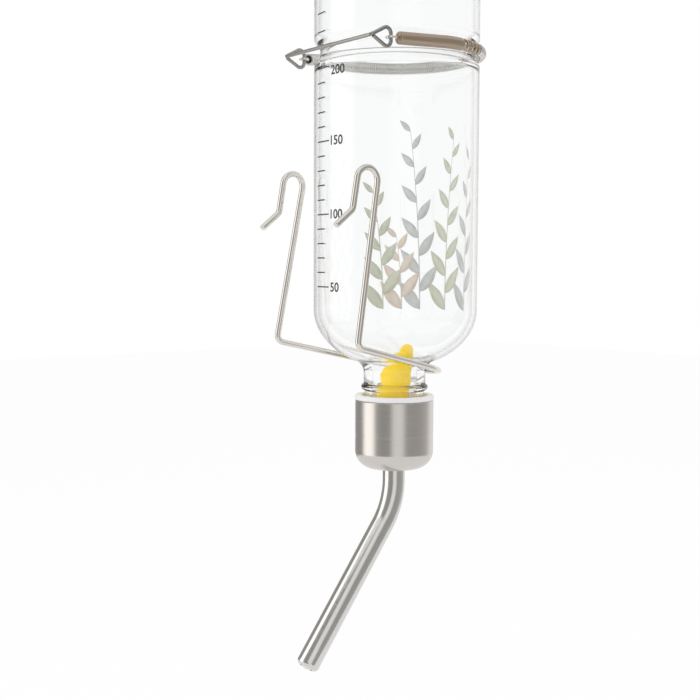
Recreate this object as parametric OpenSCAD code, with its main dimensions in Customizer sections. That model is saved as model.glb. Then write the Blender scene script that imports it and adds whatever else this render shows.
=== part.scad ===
// Rabbit water bottle: a glass bottle that hangs neck down in a bent wire hanger,
// with a spring strap round it and a ball tipped sipper tube in its cap.
// Origin: centre of the hook arcs, midway between the two hooks. +X runs from hook to hook,
// +Y points from the hooks to the bottle, +Z is up. Sizes are in millimetres.

/* [Bottle] */
// Outside diameter of the glass body
bottle_d = 55.5; // [52:0.5:62]
// Wall of the glass body
wall = 1.6; // [1.4:0.1:3]
// Height from the shoulder line up to the standing face
body_h = 120.5; // [105:0.5:130]
// Glass thickness of the bottle's floor
base_t = 4; // [3:0.5:6]
// Rounding of the standing edge
base_corner_r = 6; // [4:0.5:9]
// Diameter of the hollow in the standing face
base_hollow_d = 30; // [20:1:34]
// Depth of the hollow in the standing face
base_hollow_h = 1.2; // [0.6:0.1:2]
// Height of the strap groove's middle above the shoulder line
groove_up = 85.2; // [70:0.1:95]
// Height of the strap groove
groove_h = 10; // [8:0.5:14]
// Depth of the strap groove
groove_depth = 2; // [1:0.1:2.5]
// Height of the shoulder dome
shoulder_h = 19.6; // [17:0.2:28]
// Radial reach of the shoulder dome
shoulder_w = 26; // [24:0.2:27]
// Angle along the dome at which it turns into the neck
shoulder_end = 63.4; // [58:0.2:66]
// Diameter of the neck above its bead
neck_d = 21.2; // [20.4:0.2:22]
// Length from the shoulder line down to the lip
neck_l = 40.3; // [36:0.1:46]
// Bore of the neck
bore_d = 15.5; // [14:0.25:16.5]
// Diameter of the bead round the neck
bead_d = 22.8; // [22.4:0.1:23.4]
// Height of the bead
bead_h = 2.4; // [1.6:0.1:3]
// Distance from the bead's middle down to the lip
bead_up = 13.9; // [13.2:0.1:15]

/* [Thread] */
// Diameter of the neck between its threads
thread_root_d = 20.4; // [19.6:0.1:20.6]
// Height of a thread ridge
thread_h = 0.9; // [0.6:0.05:1.1]
// Lift of the thread in one turn
thread_pitch = 3; // [2.8:0.1:3.6]
// Turns of thread
thread_turns = 1.5; // [1:0.25:2]
// Width of a ridge at its foot
thread_foot = 1.5; // [1:0.1:1.6]
// Width of a ridge at its crest
thread_crest = 0.7; // [0.4:0.1:0.9]

/* [Hanger] */
// Diameter of the hanger wire
hanger_d = 2; // [1.6:0.1:2.4]
// Radius of a hook, at the middle of its wire
hook_r = 4.1; // [3.8:0.1:6]
// Distance between the two hooks
hook_spacing = 38; // [34:0.5:44]
// Distance between the lower ends of the two legs
corner_spacing = 42; // [36:0.5:46]
// Lean of the legs from upright
leg_lean = 10.4; // [6:0.2:14]
// Length of the rear leg below the hook
leg_l = 51.8; // [45:0.2:60]
// Length of the front leg below the hook
front_leg_l = 9.9; // [7:0.1:14]
// Length of the bent out tip
tip_l = 8.3; // [5:0.1:12]
// Angle by which the tip is bent out
tip_bend = 42; // [25:1:60]
// Fall of the arms towards the neck
arm_fall = 12.8; // [10:0.2:18]
// Rounding of the bend between leg and arm, at the middle of the wire
corner_r = 2.5; // [2:0.1:5]
// Radius of the neck loop, at the middle of its wire
loop_r = 14.9; // [14.9:0.1:16]
// Distance from the middle of the hook arcs to the bottle's axis
bottle_y = 29.1; // [28.5:0.1:36]
// Distance of the neck loop's centre behind the bottle's axis
loop_back = 0.5; // [0.3:0.1:1.5]

/* [Strap] */
// Outside diameter of the strap spring
spring_d = 4; // [3.4:0.1:4.4]
// Diameter of the spring's wire
spring_wire_d = 1; // [0.8:0.05:1.1]
// Curls in the spring
curls = 70; // [50:1:75]
// Diameter of the link's wire
link_d = 1.2; // [1:0.1:1.6]
// Room between the glass and the link
link_room = 4.4; // [4.2:0.1:8]
// Reach of the link to the left of the bottle's axis
link_left = 18.4; // [16:0.2:24]
// Reach of the link to the right of the bottle's axis
link_right = 24.8; // [18:0.2:26]
// Drop of the left eye below the groove
left_drop = 1.9; // [0:0.1:4]
// Drop of the right eye below the groove
right_drop = 0.8; // [0:0.1:4]
// Length of an eye
eye_l = 7.8; // [6:0.1:9]
// Height of an eye
eye_h = 8; // [6.4:0.1:9]
// Rounding of an eye's corners, at the middle of the wire
eye_corner_r = 1.8; // [1:0.1:2]
// Angle that a spring hook wraps round an eye
hook_wrap = 230; // [190:5:250]

/* [Cap] */
// Outside diameter of the steel shell
cap_d = 26.8; // [26.4:0.05:27]
// Sheet thickness of the steel shell
cap_t = 0.6; // [0.4:0.05:0.7]
// Height of the steel shell
cap_h = 23.6; // [20:0.1:26]
// Rounding of the steel shell's lower edge
cap_corner_r = 6.2; // [4:0.1:7]
// Depth of the rolled line round the shell
cap_line_h = 0.15; // [0.1:0.05:0.3]
// Diameter of the liner's rim
rim_d = 27.2; // [26.8:0.05:27.4]
// Height of the liner's rim above the steel
rim_h = 1.7; // [1:0.1:2.5]
// Thickness of the liner's floor
liner_floor_t = 1.2; // [0.8:0.1:1.8]
// Depth of the liner from the top of its rim to its floor
liner_depth = 12.8; // [12:0.1:14]
// Thickness of the lip gasket
gasket_t = 1.5; // [1:0.1:2]

/* [Tube] */
// Outside diameter of the sipper tube
tube_d = 7.7; // [6:0.1:8]
// Wall of the sipper tube
tube_t = 0.7; // [0.5:0.05:0.9]
// Length of straight tube below the cap
tube_drop = 3.9; // [3:0.1:12]
// Bend radius of the tube, at its middle
tube_bend_r = 25; // [18:0.5:35]
// Angle of the tube's bend
tube_bend = 37.5; // [25:0.5:50]
// Length of the tube below its bend
tube_l = 54.1; // [40:0.2:65]
// Opening of the rolled in tip
tip_open_d = 4.5; // [4.2:0.05:4.6]
// Diameter of each valve ball
ball_d = 4.9; // [4.7:0.05:5]
// Diameter of the tube's collar
collar_d = 11; // [10:0.2:11.4]
// Thickness of the tube's collar
collar_t = 1.2; // [0.8:0.1:1.6]
// Length of tube that stands above its collar
tube_top = 0.5; // [0.2:0.1:1]
// Diameter of the rubber grommet
grommet_d = 12.6; // [12:0.1:13]

/* [Float] */
// Height of the float
float_h = 29; // [24:0.5:36]
// Diameter of the float's foot
float_d = 11; // [9:0.2:11.4]
// Height of the float's straight foot
float_foot_h = 12; // [5:0.5:14]
// Diameter of the float's middle
float_mid_d = 10; // [8:0.2:10.4]
// Diameter of the float's top
float_top_d = 4.4; // [4:0.2:7]
// Sideways lean of the float's top
float_lean = 4.2; // [0:0.2:4.6]
// Direction of the lean, from +X
float_turn = 50; // [0:5:355]

/* [Clearances] */
// Gap between pieces that move past each other
move_gap = 0.3; // [0.3:0.05:0.4]
// Gap between a piece and the seat that it rests on
seat_gap = 0.15; // [0.1:0.01:0.2]
// Gap between pieces that are fitted together
fit_gap = 0.05; // [0.03:0.01:0.08]

/* [Hidden] */
$fn = 64;
arc_steps = 10;
bottle_r = bottle_d / 2;
neck_r = neck_d / 2;
bore_r = bore_d / 2;
hanger_r = hanger_d / 2;
hook_x = hook_spacing / 2;

// Hanger: legs and front hooks lie in a plane that leans, arms and loop in a plane that falls
leg_down = [0, -sin(leg_lean), -cos(leg_lean)];
leg_back = [0, cos(leg_lean), -sin(leg_lean)];
arm_back = [0, cos(arm_fall), -sin(arm_fall)];
hook_side = [hook_x, 0, 0];
corner_x = corner_spacing / 2;
corner = [corner_x, 0, 0] + leg_back * hook_r + leg_down * leg_l;
loop_reach = (bottle_y + loop_back - corner.y) / cos(arm_fall);
loop_centre = [0, corner.y, corner.z] + arm_back * loop_reach;
arm_turn = acos(loop_r / norm([corner_x, loop_reach])) - atan2(loop_reach, corner_x);
loop_start = loop_centre + loop_r * ([cos(arm_turn), 0, 0] + arm_back * sin(arm_turn));
tip_dir = leg_down * cos(tip_bend) - leg_back * sin(tip_bend);

// Seat: the bottle sinks until its dome lies a seat gap above the arms
dome_r0 = bottle_r - shoulder_w;
seat_d = hanger_r + seat_gap;
seat_table = [for (t = [88 : -1 : 0])
  let (n = [shoulder_h * cos(t), shoulder_w * sin(t)])
  [dome_r0 + shoulder_w * cos(t) + seat_d * n.x / norm(n), -shoulder_h * sin(t) - seat_d * n.y / norm(n)]];
arm_points = concat(
  [for (k = [0 : 0.01 : 1]) corner + (loop_start - corner) * k],
  [for (a = [arm_turn : 2 : 90]) loop_centre + loop_r * ([cos(a), 0, 0] + arm_back * sin(a))]);
shoulder_z = max([for (p = arm_points)
  let (r = norm([p.x, p.y - bottle_y]))
  r < bottle_r ? p.z - lookup(r, seat_table) : p.z]);
lip_z = shoulder_z - neck_l;
groove_z = shoulder_z + groove_up;
base_z = shoulder_z + body_h;

// Thread of neck and liner
thread_crest_r = thread_root_d / 2 + thread_h;
liner_root_r = thread_crest_r + move_gap;
liner_crest_r = thread_root_d / 2 + move_gap;
thread_z = lip_z + thread_foot;
thread_sink = 0.4;
thread_steps = 24;
run_out_start = 0.4;
run_out_step = 0.2;
lip_round = 0.3;

// Cap, from its gasket down
gasket_z = lip_z - fit_gap - gasket_t;
liner_floor_z = gasket_z - fit_gap;
rim_top_z = liner_floor_z + liner_depth;
shell_top_z = rim_top_z - rim_h;
shell_z = shell_top_z - cap_h;
shell_r = cap_d / 2;
shell_in_r = shell_r - cap_t;
liner_r = shell_in_r - fit_gap;
collar_hole_r = collar_d / 2 + move_gap;
grommet_top_z = liner_floor_z - liner_floor_t - fit_gap;
grommet_z = shell_z + cap_t + fit_gap;
collar_z = grommet_top_z + fit_gap;
tube_top_z = collar_z + collar_t + tube_top;
tube_r = tube_d / 2;
tube_in_r = tube_r - tube_t;
tube_hole_r = tube_r + move_gap;

// Tube: straight down to bend_z, round the bend, then along tube_dir
bend_z = shell_z - tube_drop;
tube_dir = [0, -sin(tube_bend), -cos(tube_bend)];
bend_end = [0, bottle_y - tube_bend_r * (1 - cos(tube_bend)), bend_z - tube_bend_r * sin(tube_bend)];
bend_mark_w = 0.4;
bend_mark_h = 0.02;
lip_in_r = tip_open_d / 2;
lip_curl = tube_r - lip_in_r;
ball_r = ball_d / 2;
ball_reach = ball_r + seat_gap;
ball_at = tube_l - tube_t - sqrt(ball_reach * ball_reach - lip_in_r * lip_in_r);
ball_step = ball_d + move_gap;

float_z = tube_top_z + seat_gap;
// Share of the lean by which the float's foot stands back and its middle leans over
float_share = 0.2;

// Strap: it lies in the groove and runs straight from there to the link's eyes
spring_c = (spring_d - spring_wire_d) / 2;
strap_r = bottle_r - groove_depth + seat_gap + spring_d / 2;
link_y = -(bottle_r + link_room + link_d / 2);
left_eye = [-link_left, link_y + eye_l, -left_drop];
right_eye = [link_right, link_y + eye_l, -right_drop];
hook_bend_r = link_d / 2 + move_gap + spring_wire_d / 2;
hook_shank = hook_bend_r + spring_wire_d * 2;
shank_steps = 3;
shank_lead = 0.28 * spring_wire_d;
hook_steps = 9;
eye_slack = 1.1;
function plan(p) = [p.x, p.y];
function plan_angle(p) = atan2(p.y, p.x);
function reach_angle(p) = acos(strap_r / norm(plan(p)));
right_leave = plan_angle(right_eye) + reach_angle(right_eye);
left_leave = plan_angle(left_eye) + 360 - reach_angle(left_eye);
right_point = [strap_r * cos(right_leave), strap_r * sin(right_leave), 0];
left_point = [strap_r * cos(left_leave), strap_r * sin(left_leave), 0];
right_dir = unit(right_eye - right_point);
left_dir = unit(left_eye - left_point);
right_run = norm(right_eye - right_point) - hook_shank;
left_run = norm(left_eye - left_point) - hook_shank;
arc_run = strap_r * PI * (left_leave - right_leave) / 180;
strap_run = right_run + arc_run + left_run;
turns = curls - 0.5;
curl_rings = 8;
wire_sides = 6;
hanger_sides = 12;
link_sides = 8;
bend_step = 18;
loop_step = 9;
least_step = 0.01;
first_side = [0.2, 0.1, 1];

function unit(v) = v / norm(v);
function frame(o, x, y, z) = [[x.x, y.x, z.x, o.x], [x.y, y.y, z.y, o.y], [x.z, y.z, z.z, o.z], [0, 0, 0, 1]];
function arc(c, r, a, b, n = arc_steps) =
  [for (i = [0 : n]) let (t = a + (b - a) * i / n) c + r * [cos(t), sin(t)]];

// The middle line of a wire bent through the points p with a rounding r at each
function turn_at(p, i) = acos(unit(p[i] - p[i - 1]) * unit(p[i + 1] - p[i]));
function bend_points(p, r, i) =
  let (u = unit(p[i] - p[i - 1]), v = unit(p[i + 1] - p[i]), a = turn_at(p, i), n = unit(v - u * (u * v)),
    c = p[i] - u * r[i] * tan(a / 2) + n * r[i], steps = ceil(a / bend_step))
  [for (k = [0 : steps]) let (t = a * k / steps) c + r[i] * (u * sin(t) - n * cos(t))];
function bent(p, r) =
  concat([p[0]], [for (i = [1 : len(p) - 2]) each bend_points(p, r, i)], [p[len(p) - 1]]);

module at_bottle() { translate([0, bottle_y, 0]) children(); }

// Hanger: one wire, from the left tip to the neck loop and on to the right tip
hook_top = -leg_down * hook_r;
front_leg = hook_side - leg_back * hook_r;
half_hanger = bent([front_leg + leg_down * front_leg_l + tip_dir * tip_l, front_leg + leg_down * front_leg_l,
    front_leg + hook_top, hook_side + leg_back * hook_r + hook_top, corner, loop_start],
  [0, corner_r, hook_r, hook_r, corner_r, 0]);
loop_sweep = 180 - 2 * arm_turn;
loop_steps = ceil(loop_sweep / loop_step);
loop_points = [for (k = [1 : loop_steps - 1]) let (t = arm_turn + loop_sweep * k / loop_steps)
  loop_centre + loop_r * ([cos(t), 0, 0] + arm_back * sin(t))];
function flip_x(v) = [for (p = v) [-p.x, p.y, p.z]];

hanger_points = concat(half_hanger, loop_points, reverse(flip_x(half_hanger)));

module hanger_wire() color("silver")
  tube_mesh(sweep(apart(hanger_points), hanger_d, hanger_sides), hanger_sides);

// Glass: outside and inside outlines, each from the neck up to the axis
function dome(w, h, r0, end_r) =
  let (t = shoulder_end, slope = atan2(h * cos(t), w * sin(t)),
    p = [r0 + w * cos(t), -h * sin(t)], r = (p.x - end_r) / (1 - sin(slope)),
    c = p + r * [sin(slope), -cos(slope)])
  concat(arc(c, r, 180, 90 + slope, arc_steps), [for (i = [1 : 2 * arc_steps])
    let (a = t * (1 - i / (2 * arc_steps))) [r0 + w * cos(a), -h * sin(a)]]);

function groove(r) = [for (i = [0 : 2 * arc_steps])
  let (k = i / arc_steps - 1) [r - groove_depth * (1 + cos(180 * k)) / 2, groove_up + k * groove_h / 2]];

function neck_outline() =
  let (r = thread_root_d / 2, lip_r = (r - bore_r) * lip_round, lip = -neck_l,
    bead = lip + bead_up, b = bead_h / 2)
  concat([[bore_r, lip + lip_r]], arc([bore_r + lip_r, lip + lip_r], lip_r, 180, 270),
    arc([r - lip_r, lip + lip_r], lip_r, 270, 360),
    [[r, bead - b]], arc([bead_d / 2 - b, bead], b, 270, 450), [[neck_r, bead + b]]);

module glass_outline() {
  in_r = bottle_r - wall;
  in_corner_r = base_corner_r - wall / 2;
  in_top = body_h - base_t;
  hollow_r = base_hollow_d / 2;
  polygon(concat(neck_outline(),
    dome(shoulder_w, shoulder_h, dome_r0, neck_r), groove(bottle_r),
    arc([bottle_r - base_corner_r, body_h - base_corner_r], base_corner_r, 0, 90),
    [[hollow_r, body_h], [hollow_r - base_hollow_h, body_h - base_hollow_h], [0, body_h - base_hollow_h],
      [0, in_top]],
    arc([in_r - in_corner_r, in_top - in_corner_r], in_corner_r, 90, 0),
    reverse(groove(in_r)), reverse(dome(shoulder_w - wall, shoulder_h - wall, dome_r0, bore_r))));
}
function reverse(v) = [for (i = [len(v) - 1 : -1 : 0]) v[i]];

// A helical ridge between the radii foot_r and crest_r, with its ends run out
module ridge(foot_r, crest_r) {
  n = thread_turns * thread_steps;
  ring = function (i)
    let (a = 360 * i / thread_steps, z = thread_pitch * i / thread_steps,
      k = min(1, run_out_start + run_out_step * min(i, n - i)), r = foot_r + (crest_r - foot_r) * k,
      f = thread_foot / 2, c = f + (thread_crest / 2 - f) * k)
    [for (q = [[foot_r, -f], [r, -c], [r, c], [foot_r, f]]) [q.x * cos(a), q.x * sin(a), z + q.y]];
  tube_mesh([for (i = [0 : n]) ring(i)], 4, crest_r < foot_r);
}

// A closed mesh of triangles through rings of s points each
module tube_mesh(rings, s, flip = false) {
  n = len(rings);
  side = [for (i = [0 : n - 2], j = [0 : s - 1])
    let (a = i * s + j, b = i * s + (j + 1) % s) each [[a, b, b + s], [a, b + s, a + s]]];
  ends = [for (j = [1 : s - 2]) each [[0, j + 1, j], [(n - 1) * s, (n - 1) * s + j, (n - 1) * s + j + 1]]];
  faces = concat(side, ends);
  polyhedron([for (r = rings) each r], flip ? [for (f = faces) [f[0], f[2], f[1]]] : faces);
}

module glass_bottle() color("azure", 0.4) at_bottle() {
  translate([0, 0, shoulder_z]) rotate_extrude() glass_outline();
  translate([0, 0, thread_z]) ridge(thread_root_d / 2 - thread_sink, thread_crest_r);
}

// Spring: the middle line of the strap at the run s, and the curled wire round it
function strap_frame(s) =
  s < right_run ?
    [right_point + right_dir * (right_run - s), [-right_dir.y, right_dir.x, 0] / norm(plan(right_dir))] :
  s > right_run + arc_run ?
    [left_point + left_dir * (s - right_run - arc_run), [left_dir.y, -left_dir.x, 0] / norm(plan(left_dir))] :
  let (a = right_leave + (s - right_run) * 180 / (PI * strap_r))
    [strap_r * [cos(a), sin(a), 0], [cos(a), sin(a), 0]];
function curl_point(s, a) = let (f = strap_frame(s)) f[0] + spring_c * (f[1] * cos(a) + [0, 0, 1] * sin(a));
curl_points = [for (i = [0 : turns * curl_rings])
  curl_point(strap_run * i / (turns * curl_rings), 90 + 360 * i / curl_rings)];

// A hook: the wire leaves the last curl, runs along dir and wraps round an eye
function hook_points(eye, dir, out, hand) =
  let (along = unit([dir.x, dir.y, 0]), start = eye - dir * hook_shank)
  concat([for (k = [1 : shank_steps]) let (a = hand * 90 * (1 - k / shank_steps))
      start + dir * (shank_lead * k * k) + spring_c * (out * cos(a) + [0, 0, 1] * sin(a))],
    [for (k = [0 : hook_steps]) let (a = hook_wrap * k / hook_steps)
      eye + hook_bend_r * (out * cos(a) + along * sin(a))]);
right_out = strap_frame(0)[1];
left_out = strap_frame(strap_run)[1];
spring_points = concat(reverse(hook_points(right_eye, right_dir, right_out, 1)), curl_points,
  hook_points(left_eye, left_dir, left_out, -1));

// A line of points without the ones that lie on their neighbour
function apart(p) = [for (i = [0 : len(p) - 1])
  if (i == 0 || norm(p[i] - p[max(i - 1, 0)]) > least_step) p[i]];

// Rings square to a line of points, carried along it without twist
function tangent(p, i) = unit(p[min(i + 1, len(p) - 1)] - p[max(i - 1, 0)]);
function square_to(v, t) = unit(v - t * (v * t));
function sweep(p, d, s) =
  let (n = len(p), side = [for (i = 0, v = square_to(first_side, tangent(p, 0)); i < n;
    i = i + 1, v = i < n ? square_to(v, tangent(p, i)) : v) v])
  [for (i = [0 : n - 1]) let (t = tangent(p, i), w = cross(side[i], t))
    [for (j = [0 : s - 1]) p[i] + d / 2 * (side[i] * cos(360 * j / s) + w * sin(360 * j / s))]];

// Least gap of the spring's wire to itself, from points at least half a curl apart
near_rings = curl_rings / 2 + 1;
far_rings = curl_rings * 5 / 2;
function wire_gap(p, d) =
  min([for (i = [0 : len(p) - 1], j = [i + near_rings : min(i + far_rings, len(p) - 1)])
    norm(p[i] - p[j])]) - d;
echo(spring_gap = wire_gap(spring_points, spring_wire_d));

module strap_spring() color("lightgray") at_bottle() translate([0, 0, groove_z])
  tube_mesh(sweep(spring_points, spring_wire_d, wire_sides), wire_sides);

// Link: one wire from the end of the left eye to the end of the right eye
eye_half = [0, 0, eye_h / 2];
left_end = [left_eye.x, link_y, left_eye.z];
right_end = [right_eye.x, link_y, right_eye.z];
eye_open = eye_slack * (link_d + move_gap) / norm([eye_l, eye_h / 2]);
link_points = bent([left_end + (left_eye - eye_half - left_end) * eye_open, left_eye - eye_half,
    left_eye + eye_half, left_end, right_end, right_eye + eye_half, right_eye - eye_half,
    right_end + (right_eye - eye_half - right_end) * eye_open],
  [0, eye_corner_r, eye_corner_r, link_d, link_d, eye_corner_r, eye_corner_r, 0]);

module spring_link() color("gainsboro") at_bottle() translate([0, 0, groove_z])
  tube_mesh(sweep(apart(link_points), link_d, link_sides), link_sides);

// Cap: gasket, threaded liner, steel shell and rubber grommet
module ring(z, h, r_in, r_out) {
  translate([0, 0, z]) difference() {
    cylinder(r = r_out, h = h);
    translate([0, 0, -1]) cylinder(r = r_in, h = h + 2);
  }
}

module lip_gasket() color("dimgray") at_bottle()
  ring(gasket_z, gasket_t, bore_r, liner_root_r - move_gap);

module cap_liner() color("white") at_bottle() {
  rotate_extrude() polygon([
    [collar_hole_r, liner_floor_z - liner_floor_t], [liner_r, liner_floor_z - liner_floor_t],
    [liner_r, shell_top_z + fit_gap], [rim_d / 2, shell_top_z + fit_gap], [rim_d / 2, rim_top_z - rim_h / 3],
    [rim_d / 2 - rim_h / 3, rim_top_z], [liner_root_r, rim_top_z], [liner_root_r, liner_floor_z],
    [collar_hole_r, liner_floor_z]]);
  translate([0, 0, thread_z + thread_pitch / 2]) ridge(liner_root_r + thread_sink, liner_crest_r);
}

module cap_shell() color("lightslategray") at_bottle() rotate_extrude() {
  in_corner_r = cap_corner_r - cap_t;
  line_z = liner_floor_z;
  polygon(concat([[tube_hole_r, shell_z + cap_t], [tube_hole_r, shell_z]],
    arc([shell_r - cap_corner_r, shell_z + cap_corner_r], cap_corner_r, 270, 360),
    [[shell_r, line_z - 2 * cap_line_h], [shell_r - cap_line_h, line_z], [shell_r, line_z + 2 * cap_line_h],
      [shell_r, shell_top_z], [shell_in_r, shell_top_z]],
    arc([shell_in_r - in_corner_r, shell_z + cap_t + in_corner_r], in_corner_r, 360, 270)));
}

module tube_grommet() color("saddlebrown") at_bottle()
  ring(grommet_z, grommet_top_z - grommet_z, tube_r + fit_gap, grommet_d / 2);

// Tube: straight top, bend and straight end with its tip rolled in
module sipper_tube() color("lightgray") {
  at_bottle() ring(bend_z, tube_top_z - bend_z, tube_in_r, tube_r);
  at_bottle() translate([0, 0, bend_z]) bend_mark();
  along_tube(0) bend_mark();
  multmatrix(frame([0, bottle_y - tube_bend_r, bend_z], [0, 1, 0], [0, 0, -1], [-1, 0, 0]))
    rotate_extrude(angle = tube_bend) translate([tube_bend_r, 0]) difference() {
      circle(r = tube_r);
      circle(r = tube_in_r);
    }
  along_tube(0) rotate_extrude() polygon(concat([[tube_in_r, 0], [tube_r, 0]],
    arc([lip_in_r, tube_l - lip_curl], lip_curl, 0, 90),
    arc([lip_in_r, tube_l - lip_curl], lip_curl - tube_t, 90, 0)));
}

// The faint ring that the bending tool leaves where the bend meets a straight run
module bend_mark() { ring(-bend_mark_w / 2, bend_mark_w, tube_in_r - bend_mark_h, tube_r + bend_mark_h); }

module along_tube(s)
  multmatrix(frame(bend_end + tube_dir * s, [1, 0, 0], cross(tube_dir, [1, 0, 0]), tube_dir)) children();

module tube_collar() color("silver") at_bottle()
  ring(collar_z, collar_t, tube_r + fit_gap, collar_d / 2);

module tip_ball() color("lightgray") along_tube(ball_at) sphere(d = ball_d);

module upper_ball() color("lightgray") along_tube(ball_at - ball_step) sphere(d = ball_d);

// Float: a straight foot, a rounded middle and a small top that leans over
module float_foot() {
  translate([-float_lean * float_share, 0, 0]) cylinder(d = float_d, h = float_foot_h, $fn = 32);
}
module float_middle() {
  translate([float_lean * float_share, 0, (float_foot_h + float_h) / 2]) sphere(d = float_mid_d, $fn = 32);
}
module float_top() {
  translate([float_lean, 0, float_h - float_top_d / 2]) sphere(d = float_top_d, $fn = 32);
}

module level_float() color("gold") at_bottle() translate([0, 0, float_z]) rotate([0, 0, float_turn]) {
  hull() {
    float_foot();
    float_middle();
  }
  hull() {
    float_middle();
    float_top();
  }
}

hanger_wire();
glass_bottle();
strap_spring();
spring_link();
lip_gasket();
cap_liner();
cap_shell();
tube_grommet();
sipper_tube();
tube_collar();
tip_ball();
upper_ball();
level_float();
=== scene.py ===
"""Looks of a glass rabbit water bottle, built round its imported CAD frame.

Every piece is modelled in metres in the frame of the CAD part, so its place is in its mesh.
"""

import math

import bmesh
import bpy
from bpy.props import FloatProperty, FloatVectorProperty, IntProperty, PointerProperty
from mathutils import Matrix, Vector


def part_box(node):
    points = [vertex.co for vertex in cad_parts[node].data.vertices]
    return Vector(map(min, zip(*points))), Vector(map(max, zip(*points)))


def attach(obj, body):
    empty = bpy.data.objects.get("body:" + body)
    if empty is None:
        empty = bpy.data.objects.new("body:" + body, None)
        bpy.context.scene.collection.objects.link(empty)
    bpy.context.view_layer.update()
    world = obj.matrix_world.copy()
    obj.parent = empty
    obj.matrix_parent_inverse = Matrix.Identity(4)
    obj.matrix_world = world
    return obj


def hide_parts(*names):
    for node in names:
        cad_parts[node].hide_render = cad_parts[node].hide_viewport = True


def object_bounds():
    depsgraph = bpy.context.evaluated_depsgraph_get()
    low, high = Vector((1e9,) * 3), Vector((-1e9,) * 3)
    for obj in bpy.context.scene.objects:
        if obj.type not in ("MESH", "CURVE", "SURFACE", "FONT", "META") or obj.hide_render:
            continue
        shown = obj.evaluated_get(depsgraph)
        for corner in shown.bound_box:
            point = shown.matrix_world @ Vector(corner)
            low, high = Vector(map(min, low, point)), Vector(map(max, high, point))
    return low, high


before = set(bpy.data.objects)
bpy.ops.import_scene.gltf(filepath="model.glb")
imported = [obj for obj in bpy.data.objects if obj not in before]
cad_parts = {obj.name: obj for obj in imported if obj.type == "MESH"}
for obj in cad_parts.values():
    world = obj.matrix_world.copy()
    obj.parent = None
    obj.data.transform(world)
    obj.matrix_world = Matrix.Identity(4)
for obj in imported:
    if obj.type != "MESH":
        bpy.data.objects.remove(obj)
CAD_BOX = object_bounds()

bl_info = {
    "name": "Rabbit Water Bottle",
    "version": (1, 0, 0),
    "blender": (4, 5, 0),
    "location": "View3D > Sidebar > Water Bottle",
    "description": "Builds a hanging glass water bottle with its wire hanger, strap, cap and sipper tube",
    "category": "Add Mesh",
}

MM = 0.001
UP = Vector((0, 0, 1))
GLASS_LOW, GLASS_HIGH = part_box("glass_bottle")
AXIS_Y = (GLASS_LOW.y + GLASS_HIGH.y) / 2
LIP_Z = GLASS_LOW.z
BASE_Z = GLASS_HIGH.z


# Settings

def length(name, mm, text):
    """A length setting that is given here in millimetres."""
    return FloatProperty(name=name, description=text, default=mm * MM, unit="LENGTH", precision=5)


def angle(name, degrees, text):
    """An angle setting that is given here in degrees."""
    return FloatProperty(name=name, description=text, default=math.radians(degrees), subtype="ANGLE")


def count(name, number, text):
    """A whole number setting."""
    return IntProperty(name=name, description=text, default=number, min=1)


def share(name, number, text):
    """A setting from 0 to 1."""
    return FloatProperty(name=name, description=text, default=number, min=0, max=1, subtype="FACTOR")


def colour(name, rgb, text):
    """A colour setting, in linear values."""
    return FloatVectorProperty(name=name, description=text, default=rgb, size=3, min=0, max=1,
                               subtype="COLOR")


class GlassSettings(bpy.types.PropertyGroup):
    """Sizes, tint and painted edge shade of the glass bottle."""

    body_d: length("Body diameter", 55.5, "Outside diameter of the glass body")
    wall: length("Wall", 1.6, "Wall of the glass body")
    base_t: length("Floor thickness", 4, "Glass thickness of the bottle's floor")
    base_corner_r: length("Standing edge", 6, "Rounding of the standing edge")
    hollow_d: length("Hollow", 30, "Diameter of the hollow in the standing face")
    hollow_h: length("Hollow depth", 1.2, "Depth of the hollow in the standing face")
    groove_up: length("Groove height", 85.2, "Height of the strap groove above the shoulder line")
    groove_h: length("Groove width", 10, "Height of the strap groove itself")
    groove_depth: length("Groove depth", 2, "Depth of the strap groove")
    shoulder_h: length("Shoulder height", 19.6, "Height of the shoulder dome")
    shoulder_w: length("Shoulder reach", 26, "Radial reach of the shoulder dome")
    shoulder_end: angle("Shoulder end", 63.4, "Angle along the dome at which it turns into the neck")
    neck_d: length("Neck diameter", 21.2, "Diameter of the neck above its bead")
    neck_l: length("Neck length", 40.3, "Length from the shoulder line down to the lip")
    bore_d: length("Bore", 15.5, "Bore of the neck")
    bead_d: length("Bead diameter", 22.8, "Diameter of the bead round the neck")
    bead_h: length("Bead height", 2.4, "Height of the bead")
    bead_up: length("Bead place", 13.9, "Distance from the lip up to the bead's middle")
    thread_root_d: length("Thread root", 20.4, "Diameter of the neck between its threads")
    thread_h: length("Thread height", 0.9, "Height of a thread ridge")
    thread_pitch: length("Thread pitch", 3, "Lift of the thread in one turn")
    thread_w: length("Thread width", 1.5, "Width of a ridge at its foot")
    thread_turns: FloatProperty(name="Thread turns", description="Turns of thread", default=1.5, min=0)
    sides: count("Sides", 144, "Faces round the glass")
    tint: colour("Tint", (0.985, 0.992, 0.990), "Colour of the glass")
    # Painted shade: a dark grey that the glass takes where it is seen edge on, in place of the dark edges
    # that reflection and refraction give
    edge: colour("Edge", (0.22, 0.23, 0.22), "Colour of the glass where it is seen edge on")


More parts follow.
